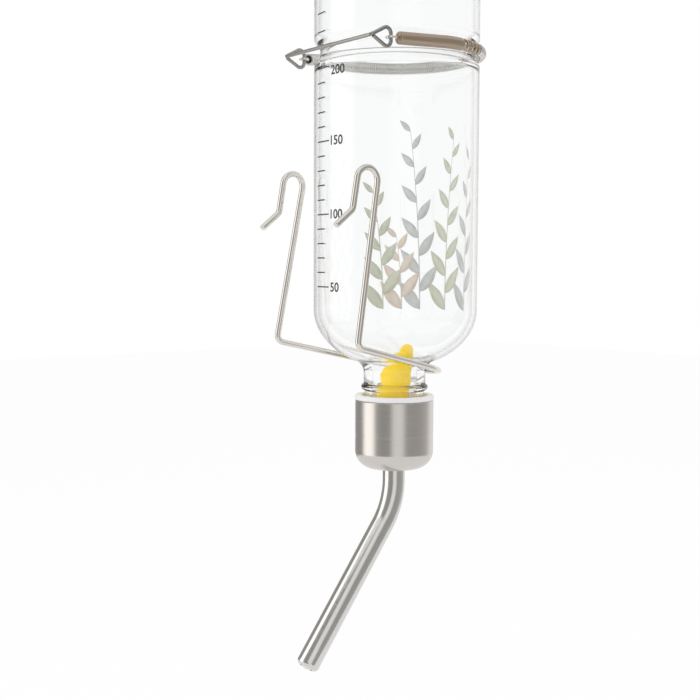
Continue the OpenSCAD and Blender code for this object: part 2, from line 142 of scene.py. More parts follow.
class ScaleSettings(bpy.types.PropertyGroup):
    """Sizes and colours of what is printed on the glass."""

    step: length("Step", 4.731, "Height of ten millilitres")
    first_up: length("First mark", 7.72, "Height of the first mark above the shoulder line")
    start: angle("Start", -110.2, "Angle round the bottle at which the marks start")
    short_l: length("Short mark", 5.7, "Length of a short mark")
    long_l: length("Long mark", 8.1, "Length of a long mark")
    mark_w: length("Mark width", 0.42, "Width of a mark")
    ink_t: length("Ink thickness", 0.03, "Thickness of the printed ink")
    ink_gap: length("Ink gap", 0.02, "Gap that keeps the ink off the glass")
    digit_h: length("Digit height", 3.1, "Height of a printed number")
    digit_squeeze: share("Digit width", 1.0, "Width of a printed number against its usual width")
    digit_gap: length("Digit gap", 1.0, "Gap between a long mark and its number")
    digit_bold: share("Digit boldness", 0.018, "Share of the type size by which its strokes grow")
    ink: colour("Ink", (0.045, 0.045, 0.050), "Colour of the marks and numbers")
    leaf_grey: colour("Grey leaf", (0.50, 0.51, 0.50), "Colour of the grey leaves")
    leaf_olive: colour("Olive leaf", (0.53, 0.55, 0.42), "Colour of the olive leaves")
    leaf_tan: colour("Tan leaf", (0.66, 0.56, 0.46), "Colour of the tan leaves")


class WireSettings(bpy.types.PropertyGroup):
    """Sizes and colours of the hanger, the link and the strap spring."""

    hanger_d: length("Hanger wire", 2, "Diameter of the hanger wire")
    hook_r: length("Hook radius", 4.1, "Radius of a hook, at the middle of its wire")
    hook_spacing: length("Hook spacing", 38, "Distance between the two hooks")
    corner_spacing: length("Corner spacing", 42, "Distance between the lower ends of the two legs")
    leg_lean: angle("Leg lean", 10.4, "Lean of the legs from upright")
    leg_l: length("Rear leg", 51.8, "Length of the rear leg below the hook")
    front_leg_l: length("Front leg", 9.9, "Length of the front leg below the hook")
    tip_l: length("Tip", 8.3, "Length of the bent out tip")
    tip_bend: angle("Tip bend", 42, "Angle by which the tip is bent out")
    arm_fall: angle("Arm fall", 12.8, "Fall of the arms towards the neck")
    corner_r: length("Corner", 2.5, "Rounding of the bend between leg and arm")
    loop_r: length("Neck loop", 14.9, "Radius of the neck loop, at the middle of its wire")
    loop_back: length("Loop offset", 0.5, "Distance of the loop's centre behind the bottle's axis")
    spring_d: length("Spring", 4, "Outside diameter of the strap spring")
    spring_wire_d: length("Spring wire", 0.8, "Diameter of the spring's wire")
    spring_turns: count("Spring turns", 124, "Turns of the close wound spring")
    open_turns: count("Open turns", 5, "Turns of the spring that are drawn apart beside the sleeve")
    sleeve_end: angle("Sleeve end", 4, "Angle round the bottle at which the sleeve ends")
    coil_start: angle("Coil start", 28, "Angle round the bottle at which the close turns start")
    spring_seat: length("Spring seat", 0.15, "Gap between the spring and the groove")
    link_d: length("Link wire", 1.2, "Diameter of the link's wire")
    link_room: length("Link room", 4.4, "Room between the glass and the link")
    link_left: length("Link left", 18.4, "Reach of the link to the left of the bottle's axis")
    link_right: length("Link right", 24.8, "Reach of the link to the right of the bottle's axis")
    left_drop: length("Left drop", 1.9, "Drop of the left eye below the groove")
    right_drop: length("Right drop", 0.8, "Drop of the right eye below the groove")
    eye_l: length("Eye length", 7.8, "Length of an eye")
    eye_h: length("Eye height", 8, "Height of an eye")
    eye_corner_r: length("Eye corner", 1.8, "Rounding of an eye's corners")
    hook_wrap: angle("Hook wrap", 230, "Angle that a spring hook wraps round an eye")
    hook_gap: length("Hook gap", 0.3, "Gap between a spring hook and its eye")
    steel: colour("Bright steel", (0.69, 0.66, 0.62), "Colour of the hanger")
    link_steel: colour("Link steel", (0.32, 0.31, 0.295), "Colour of the link")
    spring_steel: colour("Spring steel", (0.66, 0.64, 0.61), "Colour of the strap spring")
    open_steel: colour("Open turns", (0.50, 0.41, 0.32), "Colour of the turns that are drawn apart")
    sleeve_brown: colour("Sleeve", (0.37, 0.29, 0.22), "Colour of the sleeve on the strap's front run")


class CapSettings(bpy.types.PropertyGroup):
    """Sizes and colours of the cap."""

    shell_d: length("Shell", 26.8, "Outside diameter of the steel shell")
    shell_t: length("Sheet", 0.6, "Sheet thickness of the steel shell")
    shell_corner_r: length("Lower edge", 6.2, "Rounding of the shell's lower edge")
    edge_r: length("Upper edge", 0.5, "Rounding of the shell's upper edge")
    dent_depth: length("Rolled line", 0.05, "Depth of the soft line rolled round the shell")
    dent_h: length("Line height", 2.6, "Height of the rolled line")
    tube_hole_d: length("Tube hole", 8.3, "Hole of the shell for the tube")
    rim_d: length("Rim", 27.2, "Diameter of the liner's rim")
    rim_h: length("Rim height", 1.7, "Height of the liner's rim above the steel")
    floor_t: length("Liner floor", 1.2, "Thickness of the liner's floor")
    fit_gap: length("Fit", 0.05, "Gap between shell and liner")
    thread_room: length("Thread room", 0.3, "Gap between the threads of neck and liner")
    collar_hole_d: length("Collar hole", 11.6, "Hole of the liner for the tube's collar")
    sides: count("Sides", 128, "Faces round the cap")
    steel: colour("Brushed steel", (0.61, 0.585, 0.555), "Colour of the steel shell")
    white: colour("White plastic", (0.80, 0.795, 0.805), "Colour of the liner")
    rubber: colour("Rubber", (0.05, 0.05, 0.05), "Colour of the grommet")
    gasket: colour("Gasket", (0.55, 0.55, 0.53), "Colour of the lip gasket")


class SipperSettings(bpy.types.PropertyGroup):
    """Sizes and colours of the sipper tube and the float."""

    tube_d: length("Tube", 7.7, "Outside diameter of the tube")
    tube_t: length("Tube wall", 0.7, "Wall of the tube")
    bend_r: length("Bend radius", 25, "Bend radius of the tube, at its middle")
    bend: angle("Bend", 37.5, "Angle of the tube's bend")
    drop: length("Drop", 3.9, "Length of straight tube below the cap")
    end_l: length("End", 54.1, "Length of the tube below its bend")
    tip_open_d: length("Tip opening", 4.5, "Opening of the rolled in tip")
    sides: count("Sides", 64, "Faces round the tube")
    steel: colour("Tube steel", (0.66, 0.65, 0.63), "Colour of the tube")
    ball: colour("Ball steel", (0.72, 0.72, 0.71), "Colour of the valve balls")
    float_yellow: colour("Float yellow", (0.97, 0.66, 0.008), "Colour of the float")


class StageSettings(bpy.types.PropertyGroup):
    """Camera, floor and light."""

    camera_x: length("Camera X", 296.58, "Camera place along X")
    camera_y: length("Camera Y", -239.66, "Camera place along Y")
    camera_z: length("Camera Z", -26.17, "Camera place along Z")
    azimuth: angle("Azimuth", 50, "Camera turn round the object from the front")
    pitch: angle("Pitch", -4.14, "Camera tilt, down is negative")
    roll: angle("Roll", 0.24, "Camera roll")
    lens: FloatProperty(name="Lens", description="Focal length in millimetres", default=60.4, min=1)
    floor_drop: length("Floor drop", 150, "Distance of the floor below the object")
    floor_size: length("Floor size", 6000, "Side of the floor")
    floor_white: colour("Floor", (0.86, 0.86, 0.86), "Colour of the floor")
    card_reach: length("Card distance", 700, "Distance of the studio cards from the bottle's axis")
    card_h: length("Card height", 900, "Height of the studio cards above the floor")


# Shapes

def bow(centre, radius, first, last, steps):
    """Points on an arc in the (radius, height) plane, angles in radians."""
    turns = [first + (last - first) * i / steps for i in range(steps + 1)]
    return [(centre[0] + radius * math.cos(t), centre[1] + radius * math.sin(t)) for t in turns]


def round_axis(radius, height, turn):
    """The place of a point of an outline that is turned round the bottle's axis."""
    return Vector((radius * math.cos(turn), AXIS_Y + radius * math.sin(turn), height))


def turned(outline, sides, closed=False, place=round_axis):
    """Vertices and faces of an outline turned round an axis. A radius of 0 is a pole."""
    rings, verts, faces = [], [], []
    for radius, height in outline:
        number = 1 if radius == 0 else sides
        rings.append(range(len(verts), len(verts) + number))
        verts += [place(radius, height, math.tau * k / sides) for k in range(number)]
    pairs = list(zip(rings, rings[1:]))
    if closed:
        pairs.append((rings[-1], rings[0]))
    for low, high in pairs:
        for k in range(sides):
            face = [low[k % len(low)], low[(k + 1) % len(low)],
                    high[(k + 1) % len(high)], high[k % len(high)]]
            faces.append(list(dict.fromkeys(face)))
    return verts, faces


def rounded_path(points, radii, step=math.radians(6)):
    """The middle line of a wire bent through the points, with a rounding at each inner point."""
    path = [points[0]]
    for before, here, after, radius in zip(points, points[1:], points[2:], radii):
        u = (here - before).normalized()
        v = (after - here).normalized()
        bend = u.angle(v)
        n = (v - u * u.dot(v)).normalized()
        centre = here - u * radius * math.tan(bend / 2) + n * radius
        steps = max(2, math.ceil(bend / step))
        for k in range(steps + 1):
            t = bend * k / steps
            path.append(centre + radius * (u * math.sin(t) - n * math.cos(t)))
    path.append(points[-1])
    return path


def swept_wire(path, diameter, sides):
    """Vertices and faces of a round wire along a path, with its two ends rounded off."""
    radius, least_step = diameter / 2, diameter / 200
    path = [p for i, p in enumerate(path) if i == 0 or (p - path[i - 1]).length > least_step]
    last = len(path) - 1
    tangents = [(path[min(i + 1, last)] - path[max(i - 1, 0)]).normalized() for i in range(last + 1)]
    side = tangents[0].orthogonal().normalized()
    rings = []
    for point, tangent in zip(path, tangents):
        side = (side - tangent * side.dot(tangent)).normalized()
        rings.append((point, side, tangent.cross(side), radius))
    end_share, end_turns = 0.3, (0.2, 0.7, 1.2)
    soft = end_share * radius
    ends = [(soft * (1 - math.sin(t)), soft * (1 - math.cos(t))) for t in end_turns]
    point, a, b, _ = rings[0]
    head = [(point + tangents[0] * drop - tangents[0] * soft, a, b, radius - cut) for cut, drop in ends]
    point, a, b, _ = rings[-1]
    tail = [(point - tangents[-1] * drop + tangents[-1] * soft, a, b, radius - cut)
            for cut, drop in reversed(ends)]
    rings = head + rings + tail
    turns = [math.tau * j / sides for j in range(sides)]
    verts = [point + r * (a * math.cos(t) + b * math.sin(t)) for point, a, b, r in rings for t in turns]
    faces = []
    for i in range(len(rings) - 1):
        for j in range(sides):
            k = (j + 1) % sides
            faces.append([i * sides + j, i * sides + k, (i + 1) * sides + k, (i + 1) * sides + j])
    top = (len(rings) - 1) * sides
    faces.append(list(reversed(range(sides))))
    faces.append(list(range(top, top + sides)))
    return verts, faces


def joined(*shapes):
    """Several shapes as one list of vertices and one list of faces."""
    verts, faces = [], []
    for part_verts, part_faces in shapes:
        base = len(verts)
        verts += part_verts
        faces += [[base + i for i in face] for face in part_faces]
    return verts, faces


def linked(name, data):
    """A new object of the scene that holds the data, at the origin."""
    holder = bpy.data.objects.new(name, data)
    bpy.context.scene.collection.objects.link(holder)
    return holder


def plain_mesh(piece):
    """The evaluated shape of an object as a mesh of its own. The object goes."""
    graph = bpy.context.evaluated_depsgraph_get()
    mesh = bpy.data.meshes.new_from_object(piece.evaluated_get(graph), depsgraph=graph)
    bpy.data.objects.remove(piece)
    return mesh


def mesh_object(name, shape):
    """A new smooth mesh object at the origin, with its faces pointing outwards."""
    verts, faces = shape
    mesh = bpy.data.meshes.new(name)
    mesh.from_pydata([tuple(v) for v in verts], [], faces)
    bm = bmesh.new()
    bm.from_mesh(mesh)
    bmesh.ops.recalc_face_normals(bm, faces=bm.faces)
    bm.to_mesh(mesh)
    bm.free()
    mesh.shade_smooth()
    return linked(name, mesh)


def sharpen(piece, limit=math.radians(38)):
    """Marks the edges of a piece that stay sharp under smooth shading."""
    piece.data.set_sharp_from_angle(angle=limit)


def curve_object(name, points):
    """A new curve object of straight steps through the points."""
    curve = bpy.data.curves.new(name, "CURVE")
    curve.dimensions = "3D"
    spline = curve.splines.new("POLY")
    spline.points.add(len(points) - 1)
    for point, place in zip(spline.points, points):
        point.co = (*place, 1)
    return linked(name, curve)


def dress(piece, material, body, slot=None, *nodes):
    """Gives a piece its finish, the body that it moves with and the CAD nodes that it stands for."""
    piece.data.materials.clear()
    piece.data.materials.append(material)
    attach(piece, body)
    if nodes:
        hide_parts(*nodes)


def paint_node(node, material):
    """Gives a CAD node that stays in view its finish."""
    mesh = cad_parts[node].data
    mesh.materials.clear()
    mesh.materials.append(material)


# Geometry Nodes

def node_tree(name, inputs):
    """A Geometry Nodes tree with a geometry socket at each end and the named inputs between."""
    tree = bpy.data.node_groups.new(name, "GeometryNodeTree")
    tree.interface.new_socket(name="Geometry", in_out="INPUT", socket_type="NodeSocketGeometry")
    for label, kind in inputs:
        tree.interface.new_socket(name=label, in_out="INPUT", socket_type="NodeSocket" + kind)
    tree.interface.new_socket(name="Geometry", in_out="OUTPUT", socket_type="NodeSocketGeometry")
    return tree, tree.nodes.new("NodeGroupInput"), tree.nodes.new("NodeGroupOutput")


def wire_up(tree, *links):
    """Links sockets of a tree, given in pairs."""
    for source, target in links:
        tree.links.new(source, target)


def maths(tree, operation, first, second):
    """A Math node of a tree. Each operand is a socket or a number."""
    node = tree.nodes.new("ShaderNodeMath")
    node.operation = operation
    for socket, value in zip(node.inputs, (first, second)):
        if isinstance(value, bpy.types.NodeSocket):
            tree.links.new(value, socket)
        else:
            socket.default_value = value
    return node.outputs[0]


def vector_maths(tree, operation, first, second=None, scale=None):
    """A Vector Math node of a tree."""
    node = tree.nodes.new("ShaderNodeVectorMath")
    node.operation = operation
    tree.links.new(first, node.inputs[0])
    if second is not None:
        tree.links.new(second, node.inputs[1])
    if scale is not None:
        tree.links.new(scale, node.inputs["Scale"])
    return node.outputs[0]


def finish_tree(tree, geometry, group_in, group_out):
    """Ends a tree in Realize Instances and Set Material, and sends it out."""
    realize = tree.nodes.new("GeometryNodeRealizeInstances")
    paint = tree.nodes.new("GeometryNodeSetMaterial")
    wire_up(tree, (geometry, realize.inputs[0]), (realize.outputs[0], paint.inputs["Geometry"]),
            (group_in.outputs["Material"], paint.inputs["Material"]),
            (paint.outputs[0], group_out.inputs[0]))


def grown(piece, tree, values):
    """Runs a tree on an object and returns the result as a plain mesh object of the same name."""
    modifier = piece.modifiers.new(tree.name, "NODES")
    modifier.node_group = tree
    sockets = {s.name: s.identifier for s in tree.interface.items_tree if s.in_out == "INPUT"}
    for label, value in values.items():
        modifier[sockets[label]] = value
    name = piece.name
    mesh = plain_mesh(piece)
    mesh.name = name
    return linked(name, mesh)


def coil_tree():
    """A tree that winds a round wire into a close coil along a curve."""
    tree, group_in, group_out = node_tree("Close Wound Coil", [
        ("Turns", "Int"), ("Coil Radius", "Float"), ("Wire Radius", "Float"), ("Material", "Material")])
    rings_per_turn, wire_sides = 14, 8
    new = tree.nodes.new
    resample = new("GeometryNodeResampleCurve")
    steps = maths(tree, "MULTIPLY", group_in.outputs["Turns"], rings_per_turn)
    index = new("GeometryNodeInputIndex")
    turn = maths(tree, "MULTIPLY", index.outputs[0], math.tau / rings_per_turn)
    normal = new("GeometryNodeInputNormal")
    tangent = new("GeometryNodeInputTangent")
    across = vector_maths(tree, "CROSS_PRODUCT", tangent.outputs[0], normal.outputs[0])
    radius = group_in.outputs["Coil Radius"]
    out = maths(tree, "MULTIPLY", maths(tree, "COSINE", turn, 0), radius)
    up = maths(tree, "MULTIPLY", maths(tree, "SINE", turn, 0), radius)
    offset = vector_maths(tree, "ADD", vector_maths(tree, "SCALE", normal.outputs[0], scale=out),
                          vector_maths(tree, "SCALE", across, scale=up))
    wind = new("GeometryNodeSetPosition")
    section = new("GeometryNodeCurvePrimitiveCircle")
    section.inputs["Resolution"].default_value = wire_sides
    sweep = new("GeometryNodeCurveToMesh")
    sweep.inputs["Fill Caps"].default_value = True
    wire_up(tree, (group_in.outputs["Geometry"], resample.inputs["Curve"]), (steps, resample.inputs["Count"]),
            (resample.outputs[0], wind.inputs["Geometry"]), (offset, wind.inputs["Offset"]),
            (wind.outputs[0], sweep.inputs["Curve"]),
            (group_in.outputs["Wire Radius"], section.inputs["Radius"]),
            (section.outputs[0], sweep.inputs["Profile Curve"]))
    finish_tree(tree, sweep.outputs[0], group_in, group_out)
    return tree


def rows_tree():
    """A tree that repeats a printed mark upwards at an even step."""
    tree, group_in, group_out = node_tree("Rows Of Marks", [
        ("Count", "Int"), ("Step", "Float"), ("Material", "Material")])
    line = tree.nodes.new("GeometryNodeMeshLine")
    rise = tree.nodes.new("ShaderNodeCombineXYZ")
    place = tree.nodes.new("GeometryNodeInstanceOnPoints")
    wire_up(tree, (group_in.outputs["Count"], line.inputs["Count"]),
            (group_in.outputs["Step"], rise.inputs["Z"]), (rise.outputs[0], line.inputs["Offset"]),
            (line.outputs[0], place.inputs["Points"]),
            (group_in.outputs["Geometry"], place.inputs["Instance"]))
    finish_tree(tree, place.outputs[0], group_in, group_out)
    return tree


def sprig_tree():
    """A tree that sets leaves in turn left and right along each stem, smaller towards its top."""
    tree, group_in, group_out = node_tree("Leafy Sprig", [
        ("Leaves", "Int"), ("Leaf", "Object"), ("Leaf Angle", "Float"), ("Material", "Material")])
    new = tree.nodes.new
    resample = new("GeometryNodeResampleCurve")
    leaf = new("GeometryNodeObjectInfo")
    index = new("GeometryNodeInputIndex")
    tangent = new("GeometryNodeInputTangent")
    along = new("FunctionNodeAlignRotationToVector")
    along.axis = "X"
    turn = new("FunctionNodeRotateRotation")
    turn.rotation_space = "LOCAL"
    lean = new("ShaderNodeCombineXYZ")
    parameter = new("GeometryNodeSplineParameter")
    place = new("GeometryNodeInstanceOnPoints")
    odd = maths(tree, "MODULO", index.outputs[0], 2)
    side = maths(tree, "SUBTRACT", maths(tree, "MULTIPLY", odd, 2), 1)
    top_loss = 0.55
    shrink = maths(tree, "SUBTRACT", 1, maths(tree, "MULTIPLY", parameter.outputs["Factor"], top_loss))
    wire_up(tree, (group_in.outputs["Geometry"], resample.inputs["Curve"]),
            (group_in.outputs["Leaves"], resample.inputs["Count"]),
            (group_in.outputs["Leaf"], leaf.inputs["Object"]),
            (tangent.outputs[0], along.inputs["Vector"]),
            (maths(tree, "MULTIPLY", side, group_in.outputs["Leaf Angle"]), lean.inputs["Z"]),
            (along.outputs[0], turn.inputs["Rotation"]), (lean.outputs[0], turn.inputs["Rotate By"]),
            (resample.outputs[0], place.inputs["Points"]),
            (leaf.outputs["Geometry"], place.inputs["Instance"]),
            (turn.outputs[0], place.inputs["Rotation"]), (shrink, place.inputs["Scale"]))
    finish_tree(tree, place.outputs[0], group_in, group_out)
    return tree


# Finishes

def new_finish(name):
    """A new material, its tree and its Principled shader."""
    material = bpy.data.materials.new(name)
    material.use_nodes = True
    return material, material.node_tree, material.node_tree.nodes["Principled BSDF"]


def grain(tree, scale, detail, stretch=(1, 1, 1)):
    """A noise over Object coordinates, in cycles per metre, stretched along the axes."""
    coords = tree.nodes.new("ShaderNodeTexCoord")
    mapping = tree.nodes.new("ShaderNodeMapping")
    mapping.inputs["Scale"].default_value = stretch
    noise = tree.nodes.new("ShaderNodeTexNoise")
    noise.inputs["Scale"].default_value = scale
    noise.inputs["Detail"].default_value = detail
    wire_up(tree, (coords.outputs["Object"], mapping.inputs["Vector"]),
            (mapping.outputs[0], noise.inputs["Vector"]))
    return noise.outputs["Fac"]


def mapped(tree, value, source, target):
    """A Map Range node of a tree, from one pair of numbers to another."""
    node = tree.nodes.new("ShaderNodeMapRange")
    for socket, number in zip(("From Min", "From Max", "To Min", "To Max"), (*source, *target)):
        node.inputs[socket].default_value = number
    tree.links.new(value, node.inputs["Value"])
    return node.outputs[0]


def blend(tree, shader, factor, first, second):
    """Drives the colour of a shader from one colour to another."""
    mix = tree.nodes.new("ShaderNodeMix")
    mix.data_type = "RGBA"
    mix.inputs["A"].default_value = [*first, 1]
    mix.inputs["B"].default_value = [*second, 1]
    wire_up(tree, (factor, mix.inputs["Factor"]), (mix.outputs["Result"], shader.inputs["Base Color"]))


def tone(tree, shader, pattern, rgb, spread):
    """Drives the colour of a shader from a pattern, a little darker and lighter than the given one."""
    blend(tree, shader, pattern, [c * (1 - spread) for c in rgb], [min(1, c * (1 + spread)) for c in rgb])


def vary(tree, shader, pattern, low, high):
    """Drives the roughness of a shader from a pattern, between two values."""
    noise_span = (0.3, 0.7)
    tree.links.new(mapped(tree, pattern, noise_span, (low, high)), shader.inputs["Roughness"])


def emboss(tree, shader, pattern, strength, depth):
    """Gives a shader a bump of the given depth in metres."""
    bump = tree.nodes.new("ShaderNodeBump")
    bump.inputs["Strength"].default_value = strength
    bump.inputs["Distance"].default_value = depth
    wire_up(tree, (pattern, bump.inputs["Height"]), (bump.outputs[0], shader.inputs["Normal"]))


def drawn_steel(name, rgb, smooth, rough):
    """Bright stainless wire or tube with the faint marks of drawing and handling."""
    material, tree, shader = new_finish(name)
    shader.inputs["Metallic"].default_value = 1
    tone(tree, shader, grain(tree, scale=180, detail=3), rgb, spread=0.07)
    vary(tree, shader, grain(tree, scale=700, detail=4), smooth, rough)
    emboss(tree, shader, grain(tree, scale=900, detail=5), strength=0.08, depth=0.02 * MM)
    return material


def brushed_steel(name, rgb):
    """Stainless sheet, brushed round the cap, so its lines run level."""
    material, tree, shader = new_finish(name)
    lines = grain(tree, scale=1, detail=6, stretch=(60, 60, 5200))
    shader.inputs["Metallic"].default_value = 1
    shader.inputs["Anisotropic"].default_value = 0.75
    shader.inputs["Anisotropic Rotation"].default_value = 0
    tone(tree, shader, lines, rgb, spread=0.05)
    vary(tree, shader, lines, low=0.17, high=0.24)
    emboss(tree, shader, lines, strength=0.05, depth=0.02 * MM)
    return material


def clear_glass(name, tint, edge):
    """Bottle glass, clear, with painted shade where it is seen edge on, and the slight waves of a blown wall.
    """
    material, tree, shader = new_finish(name)
    # Painted shade: the view angle drives the glass from its tint to the dark edge colour, in place of dark
    # reflected and refracted edges
    view = tree.nodes.new("ShaderNodeLayerWeight")
    view.inputs["Blend"].default_value = 0.5
    edge_shade_span = (0.66, 0.92)
    blend(tree, shader, mapped(tree, view.outputs["Facing"], edge_shade_span, (0, 1)), tint, edge)
    shader.inputs["Roughness"].default_value = 0
    shader.inputs["IOR"].default_value = 1.5
    shader.inputs["Transmission Weight"].default_value = 1
    emboss(tree, shader, grain(tree, scale=55, detail=2), strength=0.05, depth=0.3 * MM)
    return material


def moulded_plastic(name, rgb, smooth, rough):
    """Moulded plastic with a fine skin and a faint shine."""
    material, tree, shader = new_finish(name)
    shader.inputs["Specular IOR Level"].default_value = 0.1
    tone(tree, shader, grain(tree, scale=120, detail=3), rgb, spread=0.05)
    vary(tree, shader, grain(tree, scale=500, detail=3), smooth, rough)
    shader.inputs["IOR"].default_value = 1.46
    shader.inputs["Subsurface Weight"].default_value = 0.08
    shader.inputs["Subsurface Radius"].default_value = (1.2 * MM, 1.0 * MM, 0.6 * MM)
    emboss(tree, shader, grain(tree, scale=1400, detail=3), strength=0.05, depth=0.03 * MM)
    return material


def drawn_sleeve(name, rgb):
    """A smooth brown sleeve with level streaks and a satin shine."""
    material, tree, shader = new_finish(name)
    streaks = grain(tree, scale=1, detail=4, stretch=(25, 25, 1500))
    tone(tree, shader, streaks, rgb, spread=0.30)
    vary(tree, shader, streaks, low=0.26, high=0.40)
    shader.inputs["Metallic"].default_value = 0.8
    emboss(tree, shader, streaks, strength=0.08, depth=0.03 * MM)
    return material


def soft_rubber(name, rgb):
    """Matt rubber with a dusty grain."""
    material, tree, shader = new_finish(name)
    tone(tree, shader, grain(tree, scale=300, detail=4), rgb, spread=0.15)
    vary(tree, shader, grain(tree, scale=900, detail=4), low=0.55, high=0.75)
    emboss(tree, shader, grain(tree, scale=1600, detail=4), strength=0.15, depth=0.05 * MM)
    return material


def printed_ink(name, rgb, spread):
    """Baked on printing ink, a little uneven in its cover."""
    material, tree, shader = new_finish(name)
    tone(tree, shader, grain(tree, scale=420, detail=5), rgb, spread)
    vary(tree, shader, grain(tree, scale=800, detail=3), low=0.40, high=0.60)
    return material


# Outlines and middle lines

def shoulder(reach, height, foot_r, end, end_r):
    """Outline from the neck up the shoulder dome, with a fillet where they meet."""
    slope = math.atan2(height * math.cos(end), reach * math.sin(end))
    meet = (foot_r + reach * math.cos(end), -height * math.sin(end))
    fillet = (meet[0] - end_r) / (1 - math.sin(slope))
    centre = (meet[0] + fillet * math.sin(slope), meet[1] - fillet * math.cos(slope))
    fillet_steps, dome_steps = 14, 40
    rise = [end * (1 - i / dome_steps) for i in range(1, dome_steps + 1)]
    return bow(centre, fillet, math.pi, math.pi / 2 + slope, fillet_steps) + [
        (foot_r + reach * math.cos(a), -height * math.sin(a)) for a in rise]


def groove_depth_at(glass, height, flat, half):
    """Depth of the strap groove at a height above the shoulder line, flat in its middle."""
    k = (abs(height - glass.groove_up) - flat) / (half - flat)
    return glass.groove_depth * (1 + math.cos(math.pi * min(max(k, 0), 1))) / 2


def outer_groove_depth(glass, height):
    """Depth of the groove in the outside, with a flat floor and steep sides."""
    return groove_depth_at(glass, height, flat=0.12 * glass.groove_h, half=0.47 * glass.groove_h)


def inner_groove_depth(glass, height):
    """Depth of the groove on the inside, a soft wave."""
    return groove_depth_at(glass, height, flat=0, half=0.65 * glass.groove_h)


def groove(glass, radius, depth_at):
    """Outline of the strap groove."""
    steps, reach = 64, 1.3 * glass.groove_h
    heights = [glass.groove_up + reach * (i / steps - 0.5) for i in range(steps + 1)]
    return [(radius - depth_at(glass, h), h) for h in heights]


def glass_outline(glass):
    """Closed outline of the glass, from the inner floor down the inside and up the outside."""
    quarter, half = math.pi / 2, math.pi
    shoulder_z = LIP_Z + glass.neck_l
    body_h = BASE_Z - shoulder_z
    radius, bore, root = glass.body_d / 2, glass.bore_d / 2, glass.thread_root_d / 2
    inner, corner = radius - glass.wall, glass.base_corner_r
    inner_corner, inner_top = corner - glass.wall / 2, body_h - glass.base_t
    lip_share, thread_rows = 0.3, 60
    foot_r, lip, lip_r = radius - glass.shoulder_w, -glass.neck_l, lip_share * (root - bore)
    bead, bead_r, hollow = lip + glass.bead_up, glass.bead_h / 2, glass.hollow_d / 2
    thread_span = bead - bead_r - lip - lip_r
    inside = [(0, inner_top)]
    inside += bow((inner - inner_corner, inner_top - inner_corner), inner_corner, quarter, 0, steps=10)
    inside += list(reversed(groove(glass, inner, inner_groove_depth)))
    inside += list(reversed(shoulder(glass.shoulder_w - glass.wall, glass.shoulder_h - glass.wall, foot_r,
                                     glass.shoulder_end, bore)))
    neck = bow((bore + lip_r, lip + lip_r), lip_r, half, half + quarter, steps=8)
    neck += bow((root - lip_r, lip + lip_r), lip_r, -quarter, 0, steps=8)
    neck += [(root, lip + lip_r + thread_span * i / thread_rows) for i in range(1, thread_rows + 1)]
    neck += bow((glass.bead_d / 2 - bead_r, bead), bead_r, -quarter, quarter, steps=14)
    neck += [(glass.neck_d / 2, bead + bead_r)]
    outside = shoulder(glass.shoulder_w, glass.shoulder_h, foot_r, glass.shoulder_end, glass.neck_d / 2)
    outside += groove(glass, radius, outer_groove_depth)
    outside += bow((radius - corner, body_h - corner), corner, 0, quarter, steps=16)
    hollow_z = body_h - glass.hollow_h
    outside += [(hollow, body_h), (hollow - glass.hollow_h, hollow_z), (0, hollow_z)]
    return [(r, z + shoulder_z) for r, z in inside + neck + outside]


def thread_rise(glass, start_z, height, turn):
    """Height of the thread ridge at a place on the neck, from 0 to 1."""
    rise, run_out_rate, flank_rate = 0, 6, 2
    for lap in range(math.ceil(glass.thread_turns)):
        laps = lap + turn / math.tau
        off = abs(height - start_z - glass.thread_pitch * laps) / (glass.thread_w / 2)
        run_out = min(1, run_out_rate * laps, run_out_rate * (glass.thread_turns - laps))
        if off < 1 and run_out > 0:
            rise = max(rise, min(1, flank_rate * (1 - off)) * run_out)
    return rise


def hanger_path(wires):
    """Middle line of the hanger wire, from the right tip round the neck loop to the left tip."""
    lean, fall, out = wires.leg_lean, wires.arm_fall, wires.tip_bend
    leg_down = Vector((0, -math.sin(lean), -math.cos(lean)))
    leg_back = Vector((0, math.cos(lean), -math.sin(lean)))
    arm_back = Vector((0, math.cos(fall), -math.sin(fall)))
    hook = Vector((wires.hook_spacing / 2, 0, 0))
    top = -leg_down * wires.hook_r
    rear = hook + leg_back * wires.hook_r
    front = hook - leg_back * wires.hook_r
    corner = rear + leg_down * wires.leg_l
    corner.x = wires.corner_spacing / 2
    reach = (AXIS_Y + wires.loop_back - corner.y) / math.cos(fall)
    centre = Vector((0, corner.y, corner.z)) + arm_back * reach
    start = math.acos(wires.loop_r / math.hypot(corner.x, reach)) - math.atan2(reach, corner.x)

    def on_loop(turn):
        return centre + wires.loop_r * (Vector((math.cos(turn), 0, 0)) + arm_back * math.sin(turn))

    knee = front + leg_down * wires.front_leg_l
    tip = knee + (leg_down * math.cos(out) - leg_back * math.sin(out)) * wires.tip_l
    right = rounded_path([tip, knee, front + top, rear + top, corner, on_loop(start)],
                         [wires.corner_r, wires.hook_r, wires.hook_r, wires.corner_r])
    left = [Vector((-p.x, p.y, p.z)) for p in reversed(right)]
    steps = 60
    loop = [on_loop(start + (math.pi - 2 * start) * k / steps) for k in range(1, steps)]
    return right + loop + left


